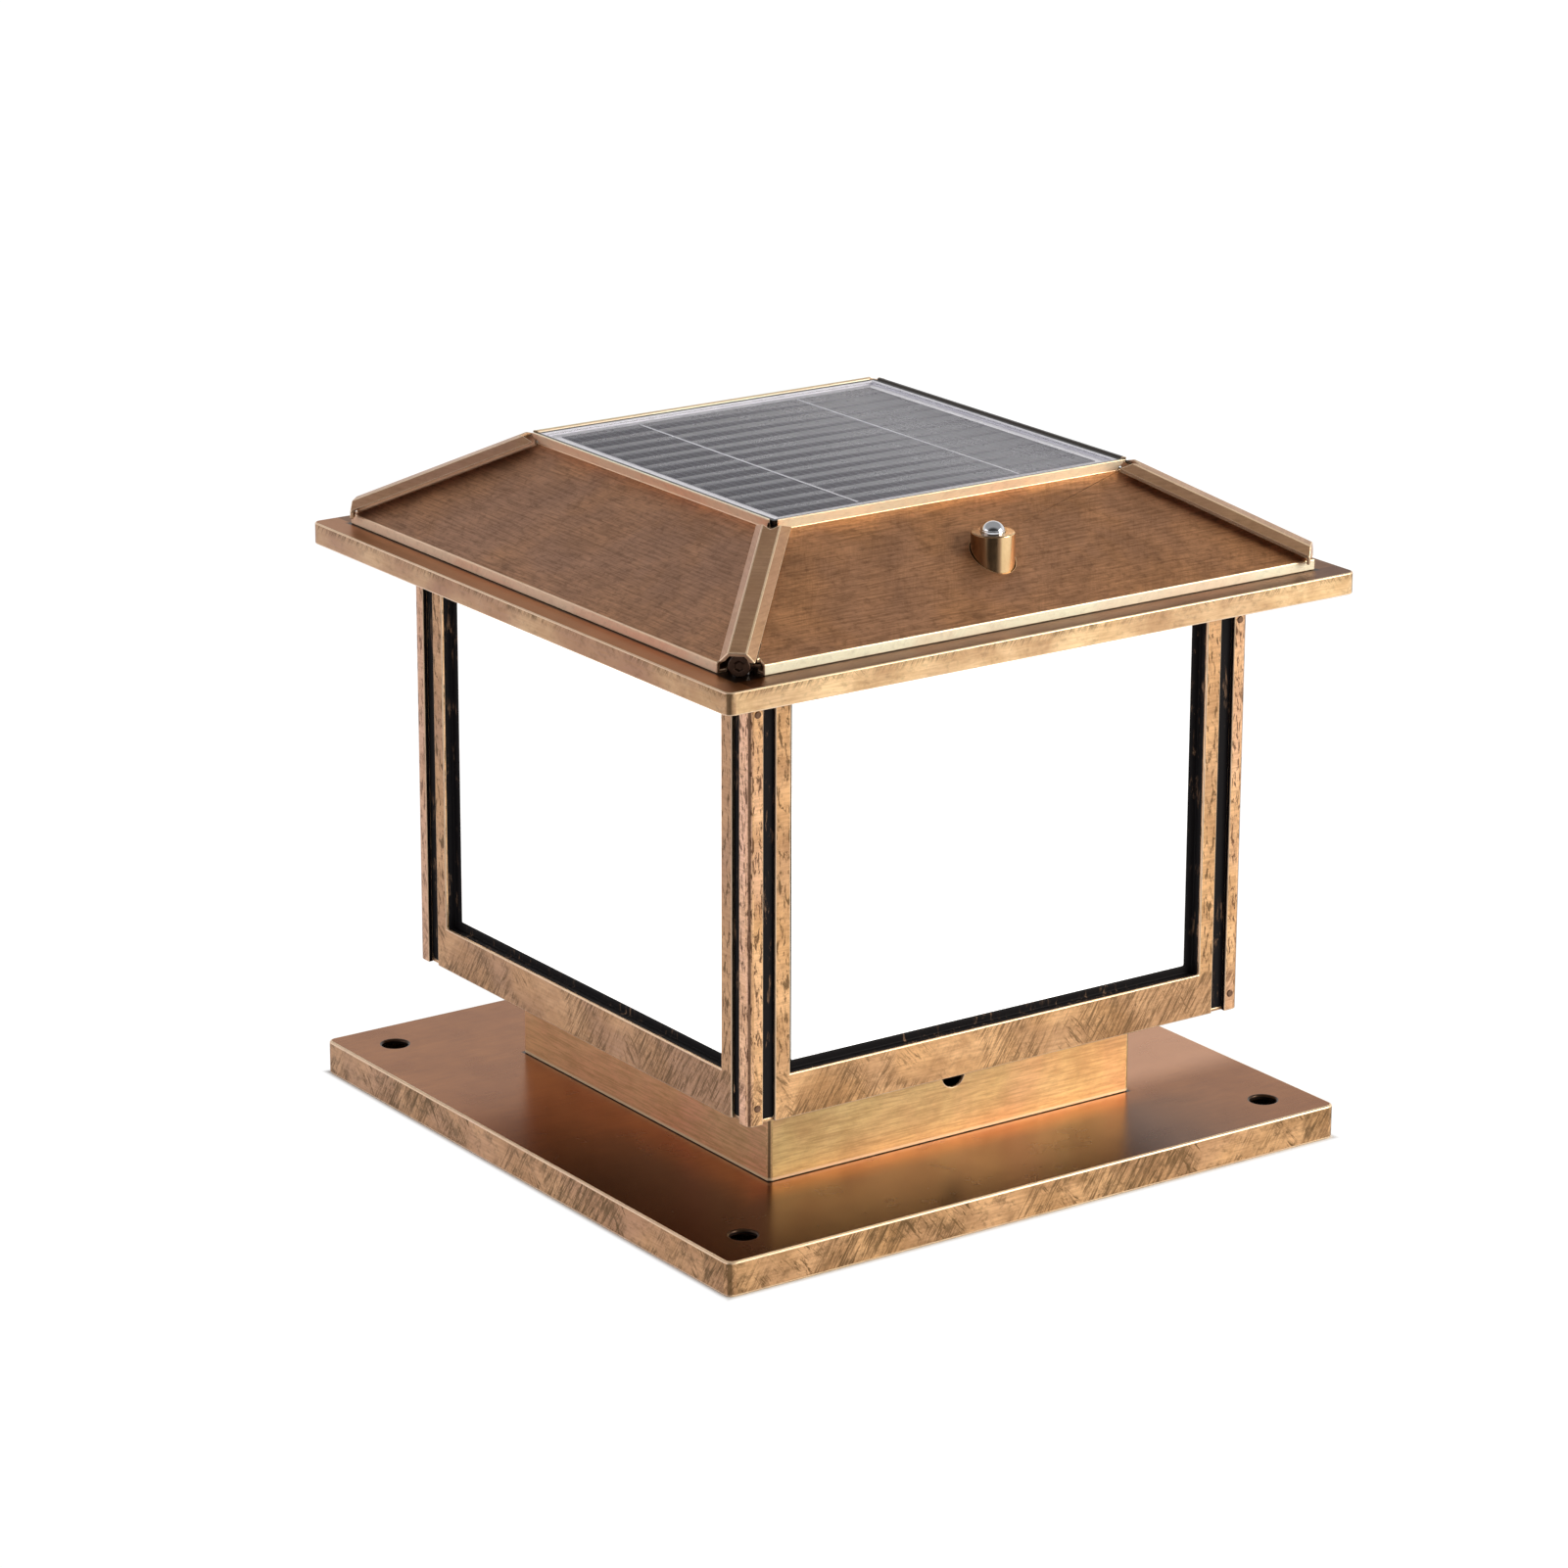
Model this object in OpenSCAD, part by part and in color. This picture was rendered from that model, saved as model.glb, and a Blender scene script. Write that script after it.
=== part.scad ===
// Square solar pillar light: a folded sheet-metal lantern on a bolt-down base.
// Millimetres, +Z up. The origin is the centre of the base's underside, the front is -Y.

/* [Base] */
// Width of the square base plate
base_w = 250; // [236:1:280]
// Height of the base plate, skirt included
base_h = 12; // [9:0.5:20]
// Thickness of the base plate's sheet
base_t = 2; // [1.5:0.1:3]
// Outside radius of the folded corners of the base and the eave
corner_r = 3; // [2.2:0.1:5]
// Distance from the base's edge to a mounting hole's centre
bolt_inset = 17.5; // [14:0.5:22]
// Diameter of the mounting holes
bolt_d = 9; // [6:0.5:11]
// Diameter of the hole under the neck, through which its nuts are reached
service_d = 110; // [60:1:120]

/* [Neck] */
// Width of the square neck
neck_w = 150; // [130:1:165]
// Height of the neck
neck_h = 32.5; // [24:0.5:50]
// Width of the neck's inner flanges
flange_w = 14; // [12:0.5:20]
// Diameter of the vent hole in the neck's front wall
vent_d = 9; // [5:0.5:12]
// Height of the vent hole's centre above the base plate
vent_z = 22; // [12:0.5:24]

/* [Lantern] */
// Width of the lantern over its corner posts
body_w = 201.2; // [180:0.1:220]
// Height of the lantern from its floor to the eave's sheet
body_h = 153.9; // [120:0.1:200]
// Thickness of the lantern's and the roof's sheet
sheet_t = 1.2; // [0.8:0.1:1.6]
// Gap between a window frame and the post's leg beside it
slot_w = 5; // [3.4:0.1:8]
// Width of a window frame's upright
stile_w = 6; // [5:0.5:12]
// Height of a window frame's bottom rail
rail_h = 15; // [14:0.5:24]
// Height of a window frame's top rail
head_h = 8; // [8:0.5:14]
// Outside radius of a corner post's fold
post_r = 2; // [1.6:0.1:3]
// Width of a corner post's leg
post_leg = 5.6; // [5:0.1:8]
// Thickness of a corner post's sheet, which stands out past the window frames
post_t = 1.8; // [1.4:0.1:2.2]
// How far a corner bar reaches behind the window frame beside it
bar_lap = 0.4; // [0.2:0.1:0.8]
// Thickness of the opal panels
panel_t = 3; // [2:0.1:4]
// Depth of a panel behind the back of its frame
panel_set = 3.5; // [2.4:0.1:4]
// Thickness of the gasket's lip over a panel's edge
lip_t = 0.8; // [0.6:0.1:1.4]
// Width of the gasket that shows beside a panel
lip_side = 3.2; // [2:0.1:4.5]
// Height of the gasket that shows above and below a panel
lip_low = 2.7; // [2:0.1:3.5]
// How far the gasket reaches above and below the window opening
gasket_wrap = 4; // [3.6:0.1:5]
// Height of the floor's upright lips behind the bottom rails
lip_h = 8; // [5:0.5:9]
// Diameter of a post rivet's head
rivet_d = 2.6; // [2:0.1:3.4]
// Height of the lower rivets above the floor
rivet_low = 6; // [4:0.5:12]
// Depth of the upper rivets below the eave's sheet
rivet_top = 16.5; // [12:0.5:30]

/* [Roof] */
// How far the eave stands out past the lantern
eave_over = 25; // [22:0.5:32]
// Height of the eave, skirt included
eave_h = 7.5; // [5:0.5:14]
// Distance from the eave's edge to the slopes' lower edge
roof_inset = 9.6; // [7:0.1:11]
// Height of the upright band at the foot of the slopes
band_h = 3.5; // [3:0.1:6]
// Rise of the slopes
slope_rise = 27.7; // [24:0.1:34]
// Width of the square top at the upper fold of the slopes
top_w = 140; // [134:1:146]
// Height of the folded rim round the top, square to the slopes
rim_h = 4.4; // [3.8:0.1:5]
// Width of the slopes' feet on the eave
foot_w = 12; // [10:0.5:14]
// Length left out of the bands at the two open corners
band_cut = 10.5; // [9:0.5:13]
// Gap between two slopes at a hip
hip_gap = 0.4; // [0.2:0.1:0.8]
// Gap between two rims at a corner of the top
rim_gap = 2.6; // [1.6:0.1:4]

/* [Hip ribs] */
// Width of a rib's flat top
rib_top_w = 5.8; // [5.4:0.1:7]
// Width over a rib's flared walls
rib_foot_w = 11.8; // [10.8:0.1:13]
// Height of a rib's top above the hip, square to it
rib_h = 4.2; // [3.9:0.1:5]
// Height of a rib's flared walls, square to the hip
rib_drop = 2.9; // [2.4:0.1:3.6]
// Thickness of a rib's sheet
rib_t = 1.2; // [0.8:0.1:1.3]
// Diameter of the screw head in a rib's open foot
rib_head_d = 7; // [5.5:0.1:7.2]

/* [Solar panel] */
// Distance from the slopes' upper fold to the solar panel's edge
solar_gap = 2; // [1.6:0.1:6]
// Thickness of the panel's backboard
board_t = 1.6; // [1.2:0.1:1.8]
// Thickness of a solar cell
cell_t = 0.3; // [0.2:0.05:0.4]
// Thickness of the clear cover over the cells
cover_t = 1.2; // [0.8:0.1:1.4]
// Width of the bare border round the cells
cell_border = 4.2; // [3:0.1:8]
// Number of cell strips
cell_count = 13; // [8:1:18]
// Gap between two cell strips
cell_gap = 0.4; // [0.2:0.1:1]

/* [Switch] */
// Distance from the slopes' lower edge to the switch's centre
switch_inset = 23.5; // [21:0.5:27]
// Diameter of the switch tube
boss_d = 14.5; // [13.5:0.1:16]
// Height of the switch tube's top above the eave
boss_h = 25.3; // [23:0.1:30]
// Diameter of the push button
cap_d = 8; // [6.5:0.1:9]
// Height of the button above its tube, at rest
cap_rise = 3.5; // [2.6:0.1:5]
// Travel of the button
press = 2; // [1:0.1:2.4]
// Length of the return spring at rest
spring_len = 8; // [6.5:0.1:8.5]
// Diameter of the spring's wire
spring_wire = 0.7; // [0.5:0.05:0.8]
// Number of the spring's turns
spring_turns = 5; // [4:1:6]

/* [Battery] */
// Diameter of a battery cell
battery_d = 18.4; // [14:0.1:18.6]
// Length of a battery cell
battery_len = 65; // [50:1:70]
// Thickness of the battery holder's walls
holder_t = 2; // [1.6:0.1:2.6]

/* [Circuit boards] */
// Length of the control board along X
board_l = 70; // [66:1:80]
// Width of the control board along Y
board_w = 40; // [36:1:44]
// Height of the spacers under the control board
spacer_h = 4; // [3:0.5:6]
// Diameter of the round lamp board
lamp_d = 90; // [80:1:110]
// Diameter of the ring of light-emitting diodes
lamp_ring = 64; // [50:1:70]
// Number of light-emitting diodes
lamp_count = 12; // [6:1:16]
// Diameter of a cable
cable_d = 2.4; // [1.8:0.1:2.8]

/* [Fits] */
// Gap round a panel in its gasket
slip = 0.1; // [0.05:0.01:0.2]
// Gap between a rib's upper end and the rim
rib_gap = 3; // [1:0.1:4]
// Radial gap round a screw or rivet
screw_gap = 0.15; // [0.05:0.05:0.25]
// Radial gap round the push button
run_gap = 0.06; // [0.03:0.01:0.1]

/* [Hidden] */
$fn = 48;

// Colours
bronze = [0.66, 0.47, 0.33];
dark_bronze = [0.50, 0.35, 0.26];
light_bronze = [0.80, 0.62, 0.46];
black_rubber = [0.06, 0.06, 0.06];
opal = [0.97, 0.97, 0.95];
steel = [0.62, 0.62, 0.64];
chrome = [0.85, 0.86, 0.88];
brass = [0.80, 0.66, 0.42];
board_green = [0.10, 0.35, 0.20];
cell_grey = [0.42, 0.41, 0.45];

// A cut reaches this far past the face that it opens
over = 1;

// Heights
neck_z = base_h;
floor_z = neck_z + neck_h;
floor_top = floor_z + sheet_t;
ceiling = floor_z + body_h;
eave_top = ceiling + sheet_t;
eave_low = eave_top - eave_h;
band_top = eave_top + band_h;
fold_z = band_top + slope_rise;

// Half widths and places
body = body_w / 2;
eave_w = body_w + 2 * eave_over;
roof_w = eave_w - 2 * roof_inset;
skin = body - post_t;
front = skin + sheet_t;
bolt_at = base_w / 2 - bolt_inset;
neck_screw_at = neck_w / 2 - sheet_t - (flange_w - sheet_t) / 2;
neck_fold_r = sheet_t * 1.4;
frame_half = body - post_leg - slot_w;
bar_w = skin - frame_half + bar_lap;
bar_at = skin - bar_w / 2;
open_half = frame_half - stile_w;
open_low = floor_z + rail_h;
open_top = ceiling - head_h;
see_half = open_half - lip_side;
see_low = open_low + lip_low;
see_top = open_top - lip_low;
panel_over = 2;
panel_face = skin - panel_set;
panel_back = panel_face - panel_t;

// Rivets in the posts
rivet_heights = [floor_z + rivet_low, ceiling - rivet_top];
rivet_x = skin - 1.6;
rivet_r = rivet_d / 2 - 0.4;
rivet_grip = 1.4;
rivet_len = post_t + rivet_grip;
rivet_head = 0.4;

// Angle clips behind the panels
clip_x = 50;
clip_w = 10;
clip_t = 1;
clip_foot = 8;
clip_over = 4;

// Screws: pan heads, shanks and nuts
m4_r = 2;
m4_head_r = 3.6;
m4_head_h = 2.4;
m4_nut_h = 3.2;
m4_nut_r = 4;
m3_r = 1.5;
m3_head_r = 2.9;
m3_head_h = 2;
sunk_r = 2.7;
// Radial gap of a thread in its hole, and how far a screw's end stands out of its nut
tap_gap = 0.04;
screw_out = 1.2;

// Slope of the roof: angle, unit vectors up the slope (a) and square to it (n), in the YZ plane
slope_run = (roof_w - top_w) / 2;
slope_deg = atan2(slope_rise, slope_run);
function up_slope(d) = [d * cos(slope_deg), d * sin(slope_deg)];
function off_slope(d) = [-d * sin(slope_deg), d * cos(slope_deg)];
fold = [-top_w / 2, fold_z];
slope_inner_z = band_top + sheet_t * tan(slope_deg) - sheet_t / cos(slope_deg);
fold_inner = fold + up_slope(sheet_t) - off_slope(sheet_t);
rim_top = fold + off_slope(rim_h);

// Screws in the slopes' feet
roof_screw_x = 60;
roof_screw_y = roof_w / 2 - (foot_w + sheet_t) / 2;

// Half width between the rim's inner faces at a height
function rim_inner(z) = top_w / 2 - sheet_t / cos(slope_deg) + (z - fold_z) * tan(slope_deg);

// Hips: distances along the diagonal from the centre
hip_deg = atan2(slope_rise, slope_run * sqrt(2));
function hip_z(d) = band_top + (roof_w / sqrt(2) - d) * tan(hip_deg);
// A rib ends a little short of the slopes' corner, and the seams under it a little further in
rib_back = 1;
seam_back = 1.3;
rib_end = (roof_w / 2 - rib_back) * sqrt(2);
seam_end = rib_end - seam_back;
seam_top = (rib_h - rib_t) / cos(hip_deg);
tab_back = 6.3;
tab_at = rib_end - tab_back;
block_len = 7.4;
block_half = 2.6;
block_hole = 6;
block_rise = 5;
block_screw_in = 2.4;
rib_screw_grip = 2.4;
roof_grip = 2;
block_grip = 4;
block_top = band_top + block_rise;
block_screw_at = tab_at - block_len + block_screw_in;
notch_spare = 0.6;
hip_notch = tab_at - block_len - notch_spare;
notch_half = 4.8;
band_gap = 2.6;
// A rib is drawn this much too long at both ends and then cut
rib_spare = 20;

// Solar panel
solar_w = top_w - 2 * solar_gap;
solar_low = fold_z + 0.5;
cell_field = solar_w - 2 * cell_border;
cells_z = solar_low + board_t;
cover_z = cells_z + cell_t;
solar_top = cover_z + cover_t;
deck_flange = 5;
deck_side = sheet_t / sin(slope_deg);
// Half width between the slopes' undersides at a height
function deck_half(z) = -fold_inner[0] - (z - fold_inner[1]) / tan(slope_deg);
solar_wire = [20, -30];

// Switch
switch_y = roof_w / 2 - switch_inset;
boss_top = eave_top + boss_h;
cap_top = boss_top + cap_rise;
cap_bore_len = 6;
shoulder = boss_top - cap_bore_len;
collar_h = 2;
rest_gap = 0.1;
collar_top = shoulder - rest_gap;
collar_low = collar_top - collar_h;
collar_r = cap_d / 2 + 1.2;
spring_low = collar_low - spring_len;
stem_low = spring_low + press + 0.4;
well_r = collar_r + 0.3;
switch_r = well_r - 0.1;
spring_r = 2.8;
stem_r = 1.2;
cable_port_z = eave_top + 4;

// Battery, control board and lamp board
holder_y = 30;
holder_l = battery_len + 2 * holder_t + 0.2;
holder_w = 2 * battery_d + 3 * holder_t + 0.6;
holder_h = 12;
battery_y = (battery_d + holder_t + 0.2) / 2;
holder_screw_x = holder_l / 2 - holder_t - 6;
holder_screw = 4;
board_y = -38;
board_z = eave_top + spacer_h;
board_top = board_z + board_t;
board_hole_x = board_l / 2 - 4;
board_hole_y = board_w / 2 - 4;
plug_h = 6;
plug_w = 8;
plug_depth = 6;
socket_h = 5;
chip_l = 12;
chip_h = 1.6;
chip_x = -3;
cap_can_h = 9;
cap_can_d = 8;
cap_can_at = [-22, board_y - 4];
coil_w = 8;
coil_h = 4;
coil_at = [-24, board_y + 8];
sunk_in = 0.2;
plug_z = board_top + 2.6;
plug_x = 15;
plug_back = board_y + board_w / 2 - 0.5;
plug_front = board_y - board_w / 2 + 0.5;
solar_plug_top = board_top + plug_h;
lamp_hole_y = -6;
lamp_screw_ring = lamp_d - 12;
lamp_screw_turns = [0, 180, 270];

// Cable routes: round numbers between the two pieces that each one joins, with a gap at each end
wire_gap = 0.3;
function wire_at(bow, z) = [solar_wire[0] + bow, solar_wire[1] - bow, z];
solar_route = [wire_at(0, solar_low - wire_gap), wire_at(0, solar_low - 6),
    wire_at(4, solar_low - 11), wire_at(4, solar_plug_top + 6), wire_at(0, solar_plug_top + 3),
    wire_at(0, solar_plug_top + wire_gap)];
battery_route = [[plug_x, holder_y - holder_w / 2 - wire_gap, plug_z], [plug_x, 3, plug_z], [19, -3, plug_z],
    [19, -8, plug_z], [plug_x, -13, plug_z], [plug_x, plug_back + wire_gap, plug_z]];
lamp_route = [[-plug_x, plug_back + wire_gap, plug_z], [-plug_x, -14, plug_z], [-12, -9, plug_z - 1],
    [-5, lamp_hole_y, plug_z - 3], [-0.5, lamp_hole_y, eave_top + 4], [0, lamp_hole_y, eave_top + 1],
    [0, lamp_hole_y, ceiling + wire_gap]];
switch_back = -switch_y + switch_r + wire_gap;
function to_plug(share) = switch_back + share * (plug_front - switch_back);
switch_route = [[0, switch_back, cable_port_z], [0, to_plug(0.1), cable_port_z],
    [0, to_plug(0.34), cable_port_z], [3, to_plug(0.58), plug_z - 1], [0, to_plug(0.82), plug_z],
    [0, plug_front - wire_gap, plug_z]];

// Points of a square with rounded corners
function soft_square(w, r, steps = 5) = [for (q = [0:3]) for (i = [0:steps])
    let (a = 90 * q + 90 * i / steps, c = w / 2 - r, sx = (q == 0 || q == 3) ? 1 : -1, sy = q < 2 ? 1 : -1)
    [sx * c + r * cos(a), sy * c + r * sin(a)]];

// A route with each stretch cut in parts on a Catmull-Rom curve
function curve_point(p, i, t) = let (
        n = len(p) - 1,
        a = p[max(i - 1, 0)], b = p[i], c = p[i + 1], d = p[min(i + 2, n)])
    0.5 * (2 * b + (c - a) * t + (2 * a - 5 * b + 4 * c - d) * t * t + (3 * b - a - 3 * c + d) * t * t * t);
function curve(p, parts) = concat(
    [for (i = [0:len(p) - 2]) for (k = [0:parts - 1]) curve_point(p, i, k / parts)],
    [p[len(p) - 1]]);
function unit(v) = v / norm(v);
// A ring's axis is that of the stretch, and at both ends it is square to the piece
function way(p, i) = i == 0 ? unit(p[1] - p[0])
    : i == len(p) - 1 ? unit(p[i] - p[i - 1]) : unit(p[i + 1] - p[i - 1]);

// A tube of radius r swept along points, with its rings turned by the side vector
module swept(p, r, side, sides = 8) {
    n = len(p);
    pts = [for (i = [0:n - 1])
        let (w = way(p, i), u = unit(cross(w, side)), v = cross(w, u))
        for (k = [0:sides - 1])
            p[i] + r * cos(360 * k / sides) * u + r * sin(360 * k / sides) * v];
    walls = [for (i = [0:n - 2]) for (k = [0:sides - 1])
        let (a = i * sides + k, b = i * sides + (k + 1) % sides)
        each [[a, a + sides, b], [b, a + sides, b + sides]]];
    start_cap = [[for (k = [0:sides - 1]) k]];
    end_cap = [[for (k = [sides - 1:-1:0]) (n - 1) * sides + k]];
    polyhedron(concat(pts), concat(walls, start_cap, end_cap), convexity = 6);
}

// Turns a piece made for the front to the right, back or left side
module side(i) {
    rotate([0, 0, 90 * i]) children();
}

// Runs a YZ outline along X
module along_x(len) {
    rotate([90, 0, 90])
        linear_extrude(height = len, center = true)
            children();
}

// A block between two corners
module block(low, high) {
    translate(low) cube(high - low);
}

// A block of a length, width and height that stands on the middle of its underside
module cube_on(length, width, height) {
    translate([-length / 2, -width / 2, 0]) cube([length, width, height]);
}

// A folded tray, open below
module tray(w, h, t) {
    difference() {
        linear_extrude(height = h) polygon(soft_square(w, corner_r));
        translate([0, 0, -over])
            linear_extrude(height = h - t + over) polygon(soft_square(w - 2 * t, corner_r - t / 2));
    }
}

// A pan-head screw with its head's underside at z = 0 and its shank down
module screw(r, head_r, head_h, length) {
    translate([0, 0, -length]) cylinder(r = r, h = length);
    difference() {
        cylinder(r = head_r, h = head_h);
        translate([0, 0, head_h - 0.9]) cylinder(r = head_r * 0.45, h = 0.9 + over, $fn = 6);
    }
}

module nut(r, outer_r, h) {
    difference() {
        cylinder(r = outer_r, h = h, $fn = 6);
        translate([0, 0, -over]) cylinder(r = r + tap_gap, h = h + 2 * over);
    }
}

module four_corners(at) {
    for (x = [-at, at]) for (y = [-at, at]) translate([x, y, 0]) children();
}

module base_plate() {
    color(bronze) difference() {
        tray(base_w, base_h, base_t);
        four_corners(bolt_at)
            translate([0, 0, base_h - base_t - over]) cylinder(d = bolt_d, h = base_t + 2 * over);
        four_corners(neck_screw_at)
            translate([0, 0, base_h - base_t - over]) cylinder(r = m4_r + screw_gap, h = base_t + 2 * over);
        translate([0, 0, base_h - base_t - over]) cylinder(d = service_d, h = base_t + 2 * over);
    }
}

module neck_flange(z) {
    hole = neck_w - 2 * flange_w;
    translate([0, 0, z]) difference() {
        linear_extrude(height = sheet_t) polygon(soft_square(neck_w, neck_fold_r));
        translate([-hole / 2, -hole / 2, -over]) cube([hole, hole, sheet_t + 2 * over]);
    }
}

module neck() {
    inner = neck_w - 2 * sheet_t;
    color(bronze) difference() {
        union() {
            difference() {
                translate([0, 0, neck_z])
                    linear_extrude(height = neck_h) polygon(soft_square(neck_w, neck_fold_r));
                translate([-inner / 2, -inner / 2, neck_z - over]) cube([inner, inner, neck_h + 2 * over]);
            }
            neck_flange(neck_z);
            neck_flange(floor_z - sheet_t);
        }
        four_corners(neck_screw_at)
            translate([0, 0, neck_z - over]) cylinder(r = m4_r + screw_gap, h = neck_h + 2 * over);
        translate([0, -neck_w / 2 - over, neck_z + vent_z])
            rotate([-90, 0, 0]) cylinder(d = vent_d, h = sheet_t + 2 * over);
    }
}

module neck_fasteners() {
    length = base_t + sheet_t + m4_nut_h + screw_out;
    color(steel) four_corners(neck_screw_at) {
        translate([0, 0, base_h - base_t]) rotate([180, 0, 0]) screw(m4_r, m4_head_r, m4_head_h, length);
        translate([0, 0, neck_z + sheet_t]) nut(m4_r, m4_nut_r, m4_nut_h);
    }
}

module floor_tray() {
    lip_half = frame_half - 1;
    hole_r = m4_r + screw_gap;
    color(bronze) difference() {
        union() {
            block([-skin, -skin, floor_z], [skin, skin, floor_top]);
            for (i = [0:3]) side(i)
                block([-lip_half, -skin, floor_z], [lip_half, -skin + sheet_t, floor_z + lip_h]);
        }
        four_corners(neck_screw_at)
            translate([0, 0, floor_z - over]) cylinder(r = hole_r, h = sheet_t + 2 * over);
        four_corners(bar_at) translate([0, 0, floor_z]) countersink(screw_gap);
    }
}

// Countersink for a flat-headed screw, flush with z = 0 and opening downwards
module countersink(gap) {
    translate([0, 0, -over]) cylinder(r = sunk_r + gap, h = over);
    cylinder(r1 = sunk_r + gap, r2 = m3_r + gap, h = sheet_t);
    cylinder(r = m3_r + gap, h = sheet_t + over);
}

module floor_fasteners() {
    length = 2 * sheet_t + m4_nut_h + screw_out;
    color(steel) four_corners(neck_screw_at) {
        translate([0, 0, floor_top]) screw(m4_r, m4_head_r, m4_head_h, length);
        translate([0, 0, floor_z - sheet_t - m4_nut_h]) nut(m4_r, m4_nut_r, m4_nut_h);
    }
}

// Window frame of the front side
module window_frame() {
    color(bronze) difference() {
        block([-frame_half, -front, floor_z], [frame_half, -skin, ceiling]);
        block([-open_half, -front - over, open_low], [open_half, -skin + over, open_top]);
    }
}

// Gasket of the front side: a wall round the panel's edge and a thin lip in front of the panel
module window_gasket() {
    half = frame_half - bar_lap - slip;
    color(black_rubber) difference() {
        block([-half, -skin, open_low - gasket_wrap], [half, -panel_back, open_top + gasket_wrap]);
        block([-open_half, -skin - over, open_low], [open_half, -panel_face - lip_t, open_top]);
        block([-see_half, -skin - over, see_low], [see_half, -panel_back + over, see_top]);
        block([-open_half - panel_over - slip, -panel_face, open_low - panel_over - slip],
            [open_half + panel_over + slip, -panel_back + over, open_top + panel_over + slip]);
    }
}

// Opal panel of the front side
module window_panel() {
    color(opal) block([-open_half - panel_over, -panel_face, open_low - panel_over],
        [open_half + panel_over, -panel_back, open_top + panel_over]);
}

// Corner post at the front left: an angle with its fold outwards
module corner_post() {
    r = post_r;
    steps = 5;
    leg = body - post_leg;
    fold_arc = [for (i = [0:steps]) let (a = 180 + 90 * i / steps)
        [-body + r + r * cos(a), -body + r + r * sin(a)]];
    color(bronze) difference() {
        translate([0, 0, floor_z]) linear_extrude(height = body_h)
            polygon(concat(fold_arc,
                [[-leg, -body], [-leg, -skin], [-skin, -skin], [-skin, -leg], [-body, -leg]]));
        for (z = rivet_heights)
            translate([-rivet_x, -body - over, z]) rotate([-90, 0, 0])
                cylinder(r = rivet_r, h = post_t + 2 * over);
    }
}

// Bar behind the front left post, tapped at both ends
module corner_bar() {
    end_hole = 8;
    color(black_rubber) difference() {
        block([-bar_at - bar_w / 2, -bar_at - bar_w / 2, floor_top],
            [-bar_at + bar_w / 2, -bar_at + bar_w / 2, ceiling]);
        for (z = [floor_top - over, ceiling - end_hole])
            translate([-bar_at, -bar_at, z]) cylinder(r = m3_r + tap_gap, h = end_hole + over);
        for (z = rivet_heights) translate([-rivet_x, -skin - over, z]) rotate([-90, 0, 0])
            cylinder(r = rivet_r, h = over + rivet_grip + 0.1);
    }
}

module post_rivets() {
    color(dark_bronze) for (sx = [0, 1]) for (sy = [0, 1]) mirror([sx, 0, 0]) mirror([0, sy, 0])
        for (z = rivet_heights) translate([-rivet_x, -body, z]) rotate([-90, 0, 0]) {
            cylinder(r = rivet_r - tap_gap, h = rivet_len);
            translate([0, 0, -rivet_head])
                cylinder(r1 = rivet_d / 2 - 0.3, r2 = rivet_d / 2, h = rivet_head);
        }
}

module bar_screws() {
    length = sheet_t + 6;
    color(steel) four_corners(bar_at) {
        translate([0, 0, floor_z]) cylinder(r1 = sunk_r, r2 = m3_r, h = sheet_t);
        translate([0, 0, floor_z]) cylinder(r = m3_r, h = length);
        translate([0, 0, eave_top]) screw(m3_r, m3_head_r, m3_head_h, length);
    }
}

// Outline of an angle clip in the YZ plane: its foot at z = 0, its face up against a panel
function clip_outline(face, height) = [[-face, 0], [-face, height], [-face + clip_t, height],
    [-face + clip_t, clip_t], [-face + clip_foot, clip_t], [-face + clip_foot, 0]];

// Angle clips that hold the panels against their gaskets
module panel_clips() {
    color(steel) for (i = [0:3]) side(i) for (x = [-clip_x, clip_x]) translate([x, 0, 0]) {
        translate([0, 0, floor_top]) along_x(clip_w)
            polygon(clip_outline(panel_back, open_low + clip_over - floor_top));
        translate([0, 0, ceiling]) mirror([0, 0, 1]) along_x(clip_w)
            polygon(clip_outline(panel_back, ceiling - open_top + clip_over));
    }
}

module eave_tray() {
    z = ceiling - over;
    h = sheet_t + 2 * over;
    hole_r = m3_r + screw_gap;
    spacer_r = 3;
    color(bronze) difference() {
        union() {
            translate([0, 0, eave_low]) tray(eave_w, eave_h, sheet_t);
            for (x = [-board_hole_x, board_hole_x]) for (y = [-board_hole_y, board_hole_y])
                translate([x, board_y + y, eave_top - sheet_t / 2])
                    cylinder(r = spacer_r, h = spacer_h + sheet_t / 2);
        }
        four_corners(bar_at) translate([0, 0, z]) cylinder(r = hole_r, h = h);
        for (i = [0:3]) side(i) for (x = [-roof_screw_x, roof_screw_x])
            translate([x, -roof_screw_y, z]) cylinder(r = hole_r, h = h);
        at_open_hips() translate([block_screw_at, 0, z]) cylinder(r = hole_r, h = h);
        for (x = [-board_hole_x, board_hole_x]) for (y = [-board_hole_y, board_hole_y])
            translate([x, board_y + y, z]) cylinder(r = m3_r + tap_gap, h = h + spacer_h);
        for (a = lamp_screw_turns) rotate([0, 0, a]) translate([lamp_screw_ring / 2, 0, z])
            cylinder(r = hole_r, h = h);
        for (s = [-1, 1]) translate([s * holder_screw_x, holder_y, z]) cylinder(r = hole_r, h = h);
        translate([0, lamp_hole_y, z]) cylinder(r = cable_d / 2 + 2.4, h = h);
    }
}

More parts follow.
